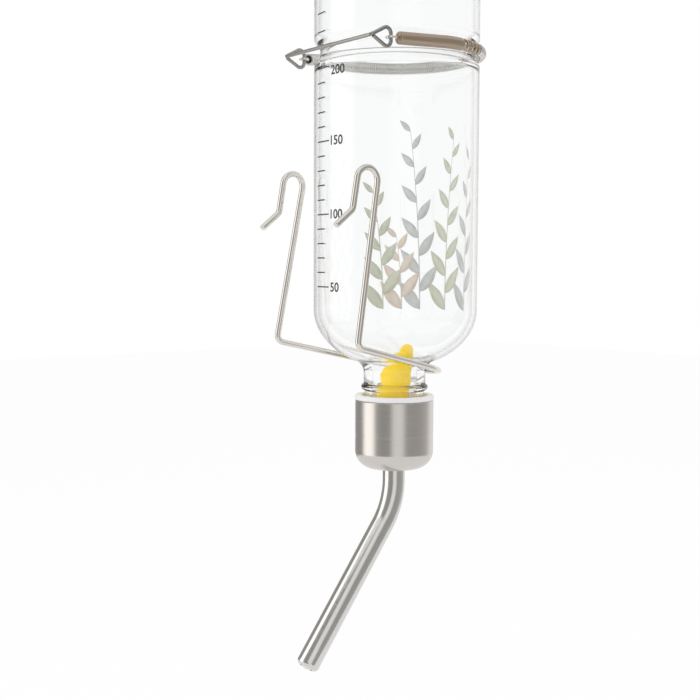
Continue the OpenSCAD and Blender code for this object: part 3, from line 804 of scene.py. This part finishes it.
class Strap:
    """Places of the strap spring, its hooks and the link's eyes."""

    def __init__(self, wires, glass):
        self.wires = wires
        self.middle_z = LIP_Z + glass.neck_l + glass.groove_up
        self.radius = glass.body_d / 2 - glass.groove_depth + wires.spring_seat + wires.spring_d / 2
        self.bar_y = -(glass.body_d / 2 + wires.link_room + wires.link_d / 2)
        eye_y = self.bar_y + wires.eye_l
        self.left_eye = Vector((-wires.link_left, eye_y, -wires.left_drop))
        self.right_eye = Vector((wires.link_right, eye_y, -wires.right_drop))
        self.bend_r = wires.link_d / 2 + wires.hook_gap + wires.spring_wire_d / 2

    def placed(self, point):
        """A point given from the bottle's axis and the groove's middle, in the frame of the part."""
        return Vector((point.x, point.y + AXIS_Y, point.z + self.middle_z))

    def leaves(self, eye, hand):
        """Angle at which the strap leaves the groove for an eye, and the point there."""
        turn = math.atan2(eye.y, eye.x) + hand * math.acos(self.radius / math.hypot(eye.x, eye.y))
        return turn, Vector((math.cos(turn), math.sin(turn), 0)) * self.radius

    def hook(self, eye, hand):
        """Middle line of a hook, from inside the coil's end round its eye."""
        leave = self.leaves(eye, hand)[1]
        run = (eye - leave).normalized()
        flat = Vector((run.x, run.y, 0)).normalized()
        out = Vector((-flat.y, flat.x, 0)) * hand
        shank, steps = 6 * MM, 24
        bend_start, bend_middle, bend_out = 0.55, 0.42, 0.6
        line = [eye - run * shank, eye - run * (shank * bend_start),
                eye - run * (shank * bend_middle) + out * self.bend_r * bend_out]
        wrap = self.wires.hook_wrap
        for k in range(steps + 1):
            turn = wrap * k / steps
            line.append(eye + self.bend_r * (out * math.cos(turn) + flat * math.sin(turn)))
        return [self.placed(p) for p in line]

    def bent_run(self, first, last):
        """Points of the strap's middle line in the groove, between two angles."""
        step = math.radians(1.5)
        steps = math.ceil(abs(last - first) / step)
        turns = [first + (last - first) * k / steps for k in range(steps + 1)]
        return [self.placed(Vector((math.cos(t), math.sin(t), 0)) * self.radius) for t in turns]

    def near_eye(self, eye, leave):
        """The point at which the strap's straight run stops short of an eye."""
        hook_room = 2 * MM
        return self.placed(eye + (leave - eye).normalized() * (self.bend_r + hook_room))

    def sleeve_line(self):
        """Middle line of the sleeve, from the right eye into the groove."""
        first, leave = self.leaves(self.right_eye, 1)
        return [self.near_eye(self.right_eye, leave)] + self.bent_run(first, self.wires.sleeve_end)

    def open_line(self):
        """Middle line of the turns that are drawn apart, between the sleeve and the close coil."""
        return self.bent_run(self.wires.sleeve_end, self.wires.coil_start)

    def coil_line(self):
        """Middle line of the close coil, from beside the sleeve round the back to the left eye."""
        last, leave = self.leaves(self.left_eye, -1)
        run = self.bent_run(self.wires.coil_start, last + math.tau)
        return run + [self.near_eye(self.left_eye, leave)]

    def link_line(self):
        """Middle line of the link, from the end of the left eye to the end of the right eye."""
        wires = self.wires
        half = UP * wires.eye_h / 2
        left_end = Vector((self.left_eye.x, self.bar_y, self.left_eye.z))
        right_end = Vector((self.right_eye.x, self.bar_y, self.right_eye.z))
        end_share = 0.6
        slack = end_share * (wires.link_d + wires.hook_gap) / math.hypot(wires.eye_l, wires.eye_h / 2)
        points = [left_end.lerp(self.left_eye - half, slack), self.left_eye - half, self.left_eye + half,
                  left_end, right_end, self.right_eye + half, self.right_eye - half,
                  right_end.lerp(self.right_eye - half, slack)]
        corner, bend = wires.eye_corner_r, wires.link_d
        line = rounded_path(points, [corner, corner, bend, bend, corner, corner])
        return [self.placed(p) for p in line]


class SipperLine:
    """Middle line of the sipper tube, by the distance from its top end."""

    def __init__(self, sipper):
        self.sipper = sipper
        self.top_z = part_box("sipper_tube")[1].z
        self.bend_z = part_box("cap_shell")[0].z - sipper.drop
        self.straight = self.top_z - self.bend_z
        self.curve = sipper.bend_r * sipper.bend
        self.whole = self.straight + self.curve + sipper.end_l

    def place(self, radius, run, turn):
        """A point at a radius from the middle line, the way that turned() asks for it."""
        bend_r = self.sipper.bend_r
        bend = min(max((run - self.straight) / bend_r, 0), self.sipper.bend)
        past = max(run - self.straight - self.curve, 0)
        ahead = Vector((0, -math.sin(bend), -math.cos(bend)))
        middle = Vector((0, AXIS_Y - bend_r * (1 - math.cos(bend)), self.bend_z - bend_r * math.sin(bend)))
        middle += ahead * past
        if run < self.straight:
            middle.z = self.top_z - run
        across = Vector((1, 0, 0))
        return middle + radius * (across * math.cos(turn) + ahead.cross(across) * math.sin(turn))

    def rows(self):
        """Distances at which the tube gets a ring of vertices."""
        top_steps, bend_steps, end_steps = 4, 40, 6
        top = [self.straight * k / top_steps for k in range(1, top_steps)]
        bend = [self.straight + self.curve * k / bend_steps for k in range(bend_steps + 1)]
        end = [self.whole - self.sipper.end_l * k / end_steps for k in range(end_steps - 1, 0, -1)]
        return top + bend + end


# Operators

class WATER_BOTTLE_OT_hanger(bpy.types.Operator):
    """Bends the wire hanger."""

    bl_idname = "water_bottle.hanger"
    bl_label = "Wire hanger"

    def execute(self, context):
        wires = context.scene.bottle_wires
        piece = mesh_object("hanger_bright_wire", swept_wire(hanger_path(wires), wires.hanger_d, sides=24))
        sharpen(piece)
        steel = drawn_steel("Hanger steel", wires.steel, smooth=0.06, rough=0.13)
        dress(piece, steel, "hanger", "hanger_steel", "hanger_wire")
        return {"FINISHED"}


class WATER_BOTTLE_OT_glass(bpy.types.Operator):
    """Blows the glass bottle with its groove, bead and thread."""

    bl_idname = "water_bottle.glass"
    bl_label = "Glass bottle"

    def execute(self, context):
        glass = context.scene.bottle_glass
        root, tolerance = glass.thread_root_d / 2, 0.001 * MM
        start_z = LIP_Z + glass.thread_w

        def place(radius, height, turn):
            if abs(radius - root) < tolerance:
                radius += glass.thread_h * thread_rise(glass, start_z, height, turn)
            return round_axis(radius, height, turn)

        piece = mesh_object("bottle_clear_glass", turned(glass_outline(glass), glass.sides, place=place))
        finish = clear_glass("Bottle glass", glass.tint, glass.edge)
        dress(piece, finish, "bottle", "clear_glass", "glass_bottle")
        piece.visible_shadow = False
        piece.visible_diffuse = False
        return {"FINISHED"}


class WATER_BOTTLE_OT_strap(bpy.types.Operator):
    """Winds the strap spring and bends its two hooks."""

    bl_idname = "water_bottle.strap"
    bl_label = "Strap spring"

    def execute(self, context):
        wires, glass = context.scene.bottle_wires, context.scene.bottle_glass
        strap, tree = Strap(wires, glass), coil_tree()
        steel = drawn_steel("Spring steel", wires.spring_steel, smooth=0.16, rough=0.30)
        brown = drawn_steel("Open turn steel", wires.open_steel, smooth=0.16, rough=0.30)
        for name, line, turns, finish, nodes in (
                ("strap_coil", strap.coil_line(), wires.spring_turns, steel, ["strap_spring"]),
                ("strap_open_turns", strap.open_line(), wires.open_turns, brown, [])):
            coil = grown(curve_object(name, line), tree, {
                "Turns": turns, "Coil Radius": (wires.spring_d - wires.spring_wire_d) / 2,
                "Wire Radius": wires.spring_wire_d / 2, "Material": finish})
            coil.data.shade_smooth()
            dress(coil, finish, "strap", "spring_steel", *nodes)
        hooks = mesh_object("strap_hooks", joined(
            swept_wire(strap.hook(strap.right_eye, 1), wires.spring_wire_d, sides=12),
            swept_wire(strap.hook(strap.left_eye, -1), wires.spring_wire_d, sides=12)))
        dress(hooks, steel, "strap", "spring_steel")
        sleeve = mesh_object("strap_sleeve", swept_wire(strap.sleeve_line(), wires.spring_d, sides=32))
        sharpen(sleeve)
        dress(sleeve, drawn_sleeve("Strap sleeve", wires.sleeve_brown), "strap", "spring_steel")
        return {"FINISHED"}


class WATER_BOTTLE_OT_link(bpy.types.Operator):
    """Bends the wire link that closes the strap."""

    bl_idname = "water_bottle.link"
    bl_label = "Strap link"

    def execute(self, context):
        wires = context.scene.bottle_wires
        line = Strap(wires, context.scene.bottle_glass).link_line()
        piece = mesh_object("link_bright_wire", swept_wire(line, wires.link_d, sides=16))
        sharpen(piece)
        steel = drawn_steel("Link steel", wires.link_steel, smooth=0.16, rough=0.30)
        dress(piece, steel, "link", "link_steel", "spring_link")
        return {"FINISHED"}


class WATER_BOTTLE_OT_cap(bpy.types.Operator):
    """Spins the steel cap and its white liner, and paints its seals."""

    bl_idname = "water_bottle.cap"
    bl_label = "Screw cap"

    def execute(self, context):
        cap, glass = context.scene.bottle_cap, context.scene.bottle_glass
        quarter = math.pi / 2
        low, high = (corner.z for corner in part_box("cap_shell"))
        liner_low, liner_high = (corner.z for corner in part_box("cap_liner"))
        radius, hole, edge = cap.shell_d / 2, cap.tube_hole_d / 2, cap.edge_r
        inner, corner = radius - cap.shell_t, cap.shell_corner_r
        inner_corner, inner_z = corner - cap.shell_t, low + cap.shell_t
        dent_steps, corner_steps = 12, 24
        dent = [(radius - cap.dent_depth * (1 + math.cos(math.tau * k)) / 2, liner_low + cap.dent_h * k)
                for k in (i / dent_steps - 0.5 for i in range(dent_steps + 1))]
        outline = [(hole, inner_z), (hole, low)]
        outline += bow((radius - corner, low + corner), corner, -quarter, 0, corner_steps) + dent
        outline += bow((radius - edge, high - edge), edge, 0, quarter, steps=8) + [(inner, high)]
        inner_middle = (inner - inner_corner, inner_z + inner_corner)
        outline += bow(inner_middle, inner_corner, 0, -quarter, corner_steps)
        shell = mesh_object("cap_brushed_shell", turned(outline, cap.sides, closed=True))
        sharpen(shell)
        dress(shell, brushed_steel("Cap steel", cap.steel), "cap", "cap_steel", "cap_shell")

        rim, body, soft = cap.rim_d / 2, inner - cap.fit_gap, cap.rim_h / 3
        root = glass.thread_root_d / 2 + glass.thread_h + cap.thread_room
        floor_z, ledge, collar = liner_low + cap.floor_t, high + cap.fit_gap, cap.collar_hole_d / 2
        outline = [(collar, liner_low), (body, liner_low), (body, ledge), (rim - soft / 2, ledge)]
        outline += bow((rim - soft, ledge + soft), soft, -quarter / 2, 0, steps=4)
        outline += bow((rim - soft, liner_high - soft), soft, 0, quarter, steps=8)
        outline += [(root + soft / 2, liner_high), (root, liner_high - soft / 2), (root, floor_z),
                    (collar, floor_z)]
        liner = mesh_object("cap_white_liner", turned(outline, cap.sides, closed=True))
        sharpen(liner)
        white = moulded_plastic("White plastic", cap.white, smooth=0.30, rough=0.45)
        dress(liner, white, "cap", "white_plastic", "cap_liner")
        paint_node("lip_gasket", soft_rubber("Gasket rubber", cap.gasket))
        paint_node("tube_grommet", soft_rubber("Grommet rubber", cap.rubber))
        return {"FINISHED"}


class WATER_BOTTLE_OT_sipper(bpy.types.Operator):
    """Bends the sipper tube with its rolled tip, and paints its collar and balls."""

    bl_idname = "water_bottle.sipper"
    bl_label = "Sipper tube"

    def execute(self, context):
        sipper = context.scene.bottle_sipper
        line = SipperLine(sipper)
        quarter = math.pi / 2
        radius, inner, lip = sipper.tube_d / 2, sipper.tube_d / 2 - sipper.tube_t, sipper.tip_open_d / 2
        curl, edge = radius - lip, sipper.tube_t / 4
        roll = line.whole - curl
        rows = [run for run in line.rows() if run < roll]
        outline = [(radius - edge, 0), (radius, edge)] + [(radius, run) for run in rows]
        outline += bow((lip, roll), curl, 0, quarter, steps=12)
        outline += bow((lip, roll), curl - sipper.tube_t, quarter, 0, steps=8)
        outline += [(inner, run) for run in reversed(rows)] + [(inner, edge), (inner + edge, 0)]
        tube = mesh_object("sipper_bent_tube", turned(outline, sipper.sides, closed=True, place=line.place))
        sharpen(tube)
        steel = drawn_steel("Tube steel", sipper.steel, smooth=0.10, rough=0.20)
        dress(tube, steel, "sipper", "tube_steel", "sipper_tube")
        paint_node("tube_collar", steel)
        ball = drawn_steel("Ball steel", sipper.ball, smooth=0.05, rough=0.10)
        paint_node("tip_ball", ball)
        paint_node("upper_ball", ball)
        return {"FINISHED"}


def eased(rows, steps):
    """Rows of numbers with smooth steps between them."""
    line = []
    for i in range(len(rows) - 1):
        near = [rows[min(max(j, 0), len(rows) - 1)] for j in (i - 1, i, i + 1, i + 2)]
        for k in range(steps):
            t, row = k / steps, []
            for a, b, c, d in zip(*near):
                square = a - 2.5 * b + 2 * c - d / 2
                cube = 1.5 * (b - c) + (d - a) / 2
                row.append(b + t * ((c - a) / 2 + t * (square + t * cube)))
            line.append(row)
    return line + [list(rows[-1])]


class WATER_BOTTLE_OT_float(bpy.types.Operator):
    """Moulds the leaning level float."""

    bl_idname = "water_bottle.float"
    bl_label = "Level float"

    # Each row: height, radius and lean to one side, in millimetres
    FOOT = ((0, 4.9, -0.84), (0.15, 5.3, -0.84), (0.6, 5.5, -0.84))
    BODY = ((0.6, 5.5, -0.84), (8, 5.5, -0.84), (12, 5.5, -0.75), (16.6, 5.4, 0), (20, 5.05, 0.8),
            (23.2, 4.2, 2), (25.2, 3.5, 2.9), (25.8, 2.7, 3.6), (26.8, 2.2, 4.2))
    # Angles of the rows that round off the top, in radians
    TOP_TURNS = (0.3, 0.6, 0.9, 1.2, 1.4)

    def execute(self, context):
        sipper = context.scene.bottle_sipper
        low_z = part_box("level_float")[0].z
        lean_turn, sides, steps = math.radians(50), 40, 6
        top_z, top_r, top_lean = self.BODY[-1]
        top = [(top_z + top_r * math.sin(t), top_r * math.cos(t), top_lean) for t in self.TOP_TURNS]
        rows = [*self.FOOT, *eased(self.BODY, steps)[1:], *top]
        end_z = top_z + top_r
        lean = Vector((math.cos(lean_turn), math.sin(lean_turn), 0))
        shift = {height: lean * side * MM for height, radius, side in rows + [(end_z, 0, top_lean)]}

        def place(radius, height, turn):
            middle = Vector((0, AXIS_Y, low_z + height * MM)) + shift[height]
            return middle + radius * MM * Vector((math.cos(turn), math.sin(turn), 0))

        outline = [(0, 0)] + [(radius, height) for height, radius, side in rows] + [(0, end_z)]
        piece = mesh_object("float_yellow_body", turned(outline, sides, place=place))
        yellow = moulded_plastic("Yellow plastic", sipper.float_yellow, smooth=0.25, rough=0.40)
        dress(piece, yellow, "float", "yellow_plastic", "level_float")
        return {"FINISHED"}


def wrapped(piece, radius, start, low_z, thickness):
    """Wraps a flat print round the glass and gives it the thickness of its ink."""
    bm = bmesh.new()
    bm.from_mesh(piece.data)
    for vert in bm.verts:
        turn = start + vert.co.x / radius
        vert.co = round_axis(radius, low_z + vert.co.y, turn)
    bmesh.ops.recalc_face_normals(bm, faces=bm.faces)
    bmesh.ops.solidify(bm, geom=bm.faces[:], thickness=thickness)
    bmesh.ops.recalc_face_normals(bm, faces=bm.faces)
    bm.to_mesh(piece.data)
    bm.free()


def printed_strip(radius, start, run, low_z, width, thickness):
    """A printed mark: a thin bent bar round the glass."""
    steps = 8
    verts = []
    for k in range(steps + 1):
        turn = start + run * k / (steps * radius)
        verts += [round_axis(r, z, turn) for r, z in (
            (radius, low_z - width / 2), (radius + thickness, low_z - width / 2),
            (radius + thickness, low_z + width / 2), (radius, low_z + width / 2))]
    faces = [[4 * k + j, 4 * k + (j + 1) % 4, 4 * k + 4 + (j + 1) % 4, 4 * k + 4 + j]
             for k in range(steps) for j in range(4)]
    return verts, faces + [[0, 1, 2, 3], [4 * steps + j for j in (3, 2, 1, 0)]]


class WATER_BOTTLE_OT_scale(bpy.types.Operator):
    """Prints the millilitre scale on the glass."""

    bl_idname = "water_bottle.scale"
    bl_label = "Printed scale"

    def execute(self, context):
        scale, glass = context.scene.bottle_scale, context.scene.bottle_glass
        radius = glass.body_d / 2 + scale.ink_gap
        first_z = LIP_Z + glass.neck_l + scale.first_up
        ink = printed_ink("Scale ink", scale.ink, spread=0.15)
        numbers, steps_each = ("50", "100", "150", "200"), 5
        group = steps_each * scale.step
        rows = rows_tree()

        def strip(run, up, depth=0):
            return printed_strip(radius - depth, scale.start, run, first_z + up, scale.mark_w, scale.ink_t)

        long_marks = grown(mesh_object("scale_long_marks", strip(scale.long_l, 0)), rows,
                           {"Count": len(numbers), "Step": group, "Material": ink})
        dress(long_marks, ink, "bottle")
        between = joined(*(strip(scale.short_l, k * scale.step) for k in range(1, steps_each)))
        short_marks = grown(mesh_object("scale_short_marks", between), rows,
                            {"Count": len(numbers) - 1, "Step": group, "Material": ink})
        dress(short_marks, ink, "bottle")
        top_shares, top_drop = (0.52, 1.12), 1.3 * MM
        top_up = [glass.groove_up + glass.groove_h * part for part in top_shares]
        top = joined(*(strip(scale.short_l, up - scale.first_up, outer_groove_depth(glass, up))
                       for up in top_up))
        dress(mesh_object("scale_top_marks", top), ink, "bottle")
        digits_turn = scale.start + (scale.long_l + scale.digit_gap) / radius
        for row, text in enumerate(numbers):
            piece = self.number(text, scale)
            drop = top_drop if row == len(numbers) - 1 else 0
            wrapped(piece, radius, digits_turn, first_z + row * group - scale.digit_h / 2 - drop, scale.ink_t)
            dress(piece, ink, "bottle")
        return {"FINISHED"}

    def number(self, text, scale):
        """A flat printed number with its lower left corner at the origin."""
        name = "scale_number_" + text
        words = bpy.data.curves.new(name, "FONT")
        words.body = text
        words.resolution_u = 6
        words.offset = scale.digit_bold
        mesh = plain_mesh(linked(name, words))
        xs = [v.co.x for v in mesh.vertices]
        ys = [v.co.y for v in mesh.vertices]
        size = scale.digit_h / (max(ys) - min(ys))
        for vert in mesh.vertices:
            vert.co = ((vert.co.x - min(xs)) * size * scale.digit_squeeze, (vert.co.y - min(ys)) * size, 0)
        bm = bmesh.new()
        bm.from_mesh(mesh)
        bmesh.ops.remove_doubles(bm, verts=bm.verts, dist=0.01 * MM)
        bm.to_mesh(mesh)
        bm.free()
        return linked(name, mesh)


class WATER_BOTTLE_OT_sprigs(bpy.types.Operator):
    """Prints plain leafy sprigs on the back of the glass."""

    bl_idname = "water_bottle.sprigs"
    bl_label = "Printed sprigs"

    # Each stem: place across in millimetres, lean of its top, height, number of leaves
    GREY = ((-17, -4, 52, 9), (6, 4, 64, 11))
    OLIVE = ((-5, -4, 60, 11), (20, 4, 42, 9))
    TAN = ((13, 2, 26, 7),)

    def execute(self, context):
        scale, glass = context.scene.bottle_scale, context.scene.bottle_glass
        radius = glass.body_d / 2 + scale.ink_gap
        drop, middle, leaf_angle = 1.0 * MM, math.radians(106), math.radians(38)
        low_z = LIP_Z + glass.neck_l - drop
        leaf = mesh_object("sprig_leaf", self.leaf(run=13 * MM, half=2.3 * MM))
        tree = sprig_tree()
        for name, rgb, stems in (("grey", scale.leaf_grey, self.GREY),
                                 ("olive", scale.leaf_olive, self.OLIVE),
                                 ("tan", scale.leaf_tan, self.TAN)):
            ink = printed_ink("Sprig " + name, rgb, spread=0.22)
            shapes = []
            for number, (across, lean, height, leaf_count) in enumerate(stems):
                points = self.stem_points(across, lean, height)
                leaves = grown(curve_object(f"sprig_{name}_{number}", points), tree, {
                    "Leaves": leaf_count, "Leaf": leaf, "Leaf Angle": leaf_angle, "Material": ink})
                shapes.append(([v.co.copy() for v in leaves.data.vertices],
                               [list(p.vertices) for p in leaves.data.polygons]))
                shapes.append(self.ribbon(points, width=0.5 * MM))
                bpy.data.objects.remove(leaves)
            piece = mesh_object(f"sprig_{name}_print", joined(*shapes))
            wrapped(piece, radius, middle, low_z, scale.ink_t)
            dress(piece, ink, "bottle")
        bpy.data.objects.remove(leaf)
        return {"FINISHED"}

    def stem_points(self, across, lean, height):
        """Points of a stem in the flat plane of the print."""
        steps = 24
        return [Vector((across + lean * (k / steps) ** 2, height * k / steps, 0)) * MM
                for k in range(steps + 1)]

    def leaf(self, run, half):
        """A flat pointed leaf along X, with a row of faces each side of its midrib."""
        steps, belly = 8, 0.8
        verts = [(0, 0, 0), (run, 0, 0)]
        for k in range(1, steps):
            wide = half * math.sin(math.pi * (k / steps) ** belly)
            verts += [(run * k / steps, side, 0) for side in (-wide, 0, wide)]
        faces = [[0, 2, 3], [0, 3, 4]]
        for k in range(steps - 2):
            a = 2 + 3 * k
            faces += [[a, a + 3, a + 4, a + 1], [a + 1, a + 4, a + 5, a + 2]]
        last = 2 + 3 * (steps - 2)
        return verts, faces + [[last, 1, last + 1], [last + 1, 1, last + 2]]

    def ribbon(self, points, width):
        """A flat ribbon along a stem, narrower towards its top."""
        verts, last, taper = [], len(points) - 1, 0.6
        for k, point in enumerate(points):
            half = Vector((width / 2 * (1 - taper * k / last), 0, 0))
            verts += [point - half, point + half]
        return verts, [[2 * k, 2 * k + 1, 2 * k + 3, 2 * k + 2] for k in range(last)]


class WATER_BOTTLE_OT_stage(bpy.types.Operator):
    """Sets up the camera, the white surroundings, the floor, the studio cards and the soft boxes."""

    bl_idname = "water_bottle.stage"
    bl_label = "Stage"

    # Each soft box: turn in degrees from the camera's side, height, distance, width, length, watts
    SOFT_BOXES = ((-79, 0.25, 0.80, 0.62, 0.90, 1.4), (150, 0.70, 0.90, 0.60, 0.60, 1.0))
    # Each studio card: its greys, by turn in degrees from the camera's side, left is negative
    CARDS = (((-163, 1.0), (-155, 0.40), (-139, 0.40), (-128, 0.36), (-106, 0.36), (-98, 1.7), (-66, 1.7),
              (-57, 0.42), (-14, 0.36), (-4, 1.0)),
             ((22, 1.0), (33, 0.42), (78, 0.46), (108, 0.62), (126, 1.1), (150, 1.0)))

    def execute(self, context):
        stage = context.scene.bottle_stage
        self.camera(context.scene, stage)
        self.surroundings(context.scene)
        self.floor(stage)
        for number, shades in enumerate(self.CARDS):
            self.card(f"studio_card_{number}", stage, shades)
        for number, box in enumerate(self.SOFT_BOXES):
            self.soft_box(f"soft_box_{number}", stage, box)
        context.scene.view_settings.view_transform = "Standard"
        return {"FINISHED"}

    def camera(self, scene, stage):
        """The camera, at the photographed angle."""
        lens = bpy.data.cameras.new("camera")
        lens.lens = stage.lens
        lens.sensor_width = 36
        lens.clip_start = 0.01
        camera = linked("camera", lens)
        turn = Matrix.Rotation(stage.azimuth, 4, "Z") @ Matrix.Rotation(math.pi / 2 + stage.pitch, 4, "X")
        place = Matrix.Translation((stage.camera_x, stage.camera_y, stage.camera_z))
        camera.matrix_world = place @ turn @ Matrix.Rotation(stage.roll, 4, "Z")
        scene.camera = camera

    def surroundings(self, scene):
        """A plain white background, which metal and glass show too."""
        world = bpy.data.worlds.new("studio")
        world.use_nodes = True
        back = world.node_tree.nodes["Background"]
        back.inputs["Color"].default_value = (1, 1, 1, 1)
        back.inputs["Strength"].default_value = 1
        scene.world = world

    def floor_z(self, stage):
        """Height of the floor, in the frame of the part."""
        return CAD_BOX[0][2] - stage.floor_drop

    def card(self, name, stage, shades):
        """A curved grey card beside the camera, which only shows in reflections."""
        column_turn, warm, low = 2, 0.02, self.floor_z(stage)
        verts, greys = [], []
        for (turn, grey), (next_turn, next_grey) in zip(shades, shades[1:]):
            columns = max(1, round((next_turn - turn) / column_turn))
            last = 1 if (next_turn, next_grey) == shades[-1] else 0
            for k in range(columns + last):
                part = k / columns
                bearing = stage.azimuth - math.pi / 2 + math.radians(turn + (next_turn - turn) * part)
                x, y = stage.card_reach * math.cos(bearing), AXIS_Y + stage.card_reach * math.sin(bearing)
                verts += [(x, y, low), (x, y, low + stage.card_h)]
                greys += [grey + (next_grey - grey) * part] * 2
        faces = [[i, i + 2, i + 3, i + 1] for i in range(0, len(verts) - 2, 2)]
        piece = mesh_object(name, (verts, faces))
        shade = piece.data.color_attributes.new("shade", "FLOAT_COLOR", "POINT")
        for entry, grey in zip(shade.data, greys):
            entry.color = (grey, grey * (1 - warm), grey * (1 - 2 * warm), 1)
        material, tree, _ = new_finish(name)
        glow = tree.nodes.new("ShaderNodeEmission")
        painted = tree.nodes.new("ShaderNodeVertexColor")
        painted.layer_name = "shade"
        wire_up(tree, (painted.outputs["Color"], glow.inputs["Color"]),
                (glow.outputs[0], tree.nodes["Material Output"].inputs["Surface"]))
        piece.data.materials.append(material)
        piece.visible_camera = False
        piece.visible_diffuse = False
        piece.visible_shadow = False
        piece.visible_transmission = False

    def floor(self, stage):
        """A pale floor that looks white and keeps the object's shadow."""
        half, low, glow_share = stage.floor_size / 2, self.floor_z(stage), 0.88
        verts = [(x, y, low) for x, y in ((-half, -half), (half, -half), (half, half), (-half, half))]
        piece = mesh_object("floor", (verts, [[0, 1, 2, 3]]))
        material, tree, shader = new_finish("Pale floor")
        tone(tree, shader, grain(tree, scale=3, detail=2), stage.floor_white, spread=0.01)
        shader.inputs["Roughness"].default_value = 0.9
        glow = tree.nodes.new("ShaderNodeEmission")
        glow.inputs["Strength"].default_value = 1
        path = tree.nodes.new("ShaderNodeLightPath")
        mix = tree.nodes.new("ShaderNodeMixShader")
        out = tree.nodes["Material Output"]
        clear = maths(tree, "MAXIMUM", path.outputs["Is Glossy Ray"], path.outputs["Is Transmission Ray"])
        seen = maths(tree, "MAXIMUM", path.outputs["Is Camera Ray"], clear)
        wire_up(tree, (maths(tree, "MULTIPLY", seen, glow_share), mix.inputs[0]),
                (shader.outputs[0], mix.inputs[1]), (glow.outputs[0], mix.inputs[2]),
                (mix.outputs[0], out.inputs["Surface"]))
        piece.data.materials.append(material)

    def soft_box(self, name, stage, box):
        """A large soft lamp that faces the middle of the object."""
        turn, height, distance, width, length_up, watts = box
        lamp = bpy.data.lights.new(name, "AREA")
        lamp.shape = "RECTANGLE"
        lamp.size, lamp.size_y, lamp.energy = width, length_up, watts
        lamp.color = (1, 0.985, 0.96)
        holder = linked(name, lamp)
        bearing = stage.azimuth - math.pi / 2 + math.radians(turn)
        aim = Vector((0, AXIS_Y, (LIP_Z + BASE_Z) / 2))
        place = aim + Vector((distance * math.cos(bearing), distance * math.sin(bearing), height))
        look = (aim - place).to_track_quat("-Z", "Y")
        holder.matrix_world = Matrix.Translation(place) @ look.to_matrix().to_4x4()
        holder.visible_glossy = False
        holder.visible_transmission = False


PIECES = (WATER_BOTTLE_OT_hanger, WATER_BOTTLE_OT_glass, WATER_BOTTLE_OT_strap, WATER_BOTTLE_OT_link,
          WATER_BOTTLE_OT_cap, WATER_BOTTLE_OT_sipper, WATER_BOTTLE_OT_float, WATER_BOTTLE_OT_scale,
          WATER_BOTTLE_OT_sprigs, WATER_BOTTLE_OT_stage)
SETTINGS = {"bottle_glass": GlassSettings, "bottle_scale": ScaleSettings, "bottle_wires": WireSettings,
            "bottle_cap": CapSettings, "bottle_sipper": SipperSettings, "bottle_stage": StageSettings}


class VIEW3D_PT_water_bottle(bpy.types.Panel):
    """Lists the pieces of the water bottle."""

    bl_label = "Water Bottle"
    bl_idname = "VIEW3D_PT_water_bottle"
    bl_space_type = "VIEW_3D"
    bl_region_type = "UI"
    bl_category = "Water Bottle"

    def draw(self, context):
        for piece in PIECES:
            self.layout.operator(piece.bl_idname)
        for name in SETTINGS:
            settings = getattr(context.scene, name)
            box = self.layout.box()
            for key in settings.__annotations__:
                box.prop(settings, key)


def register():
    """Registers the settings, the operators and the panel."""
    for name, settings in SETTINGS.items():
        bpy.utils.register_class(settings)
        setattr(bpy.types.Scene, name, PointerProperty(type=settings))
    for cls in (*PIECES, VIEW3D_PT_water_bottle):
        bpy.utils.register_class(cls)


def unregister():
    """Takes everything that register() added out again."""
    for cls in reversed((*PIECES, VIEW3D_PT_water_bottle)):
        bpy.utils.unregister_class(cls)
    for name, settings in SETTINGS.items():
        delattr(bpy.types.Scene, name)
        bpy.utils.unregister_class(settings)


def main():
    """Builds every piece in order."""
    register()
    for piece in PIECES:
        group, name = piece.bl_idname.split(".")
        getattr(getattr(bpy.ops, group), name)()


if __name__ == "__main__":
    main()
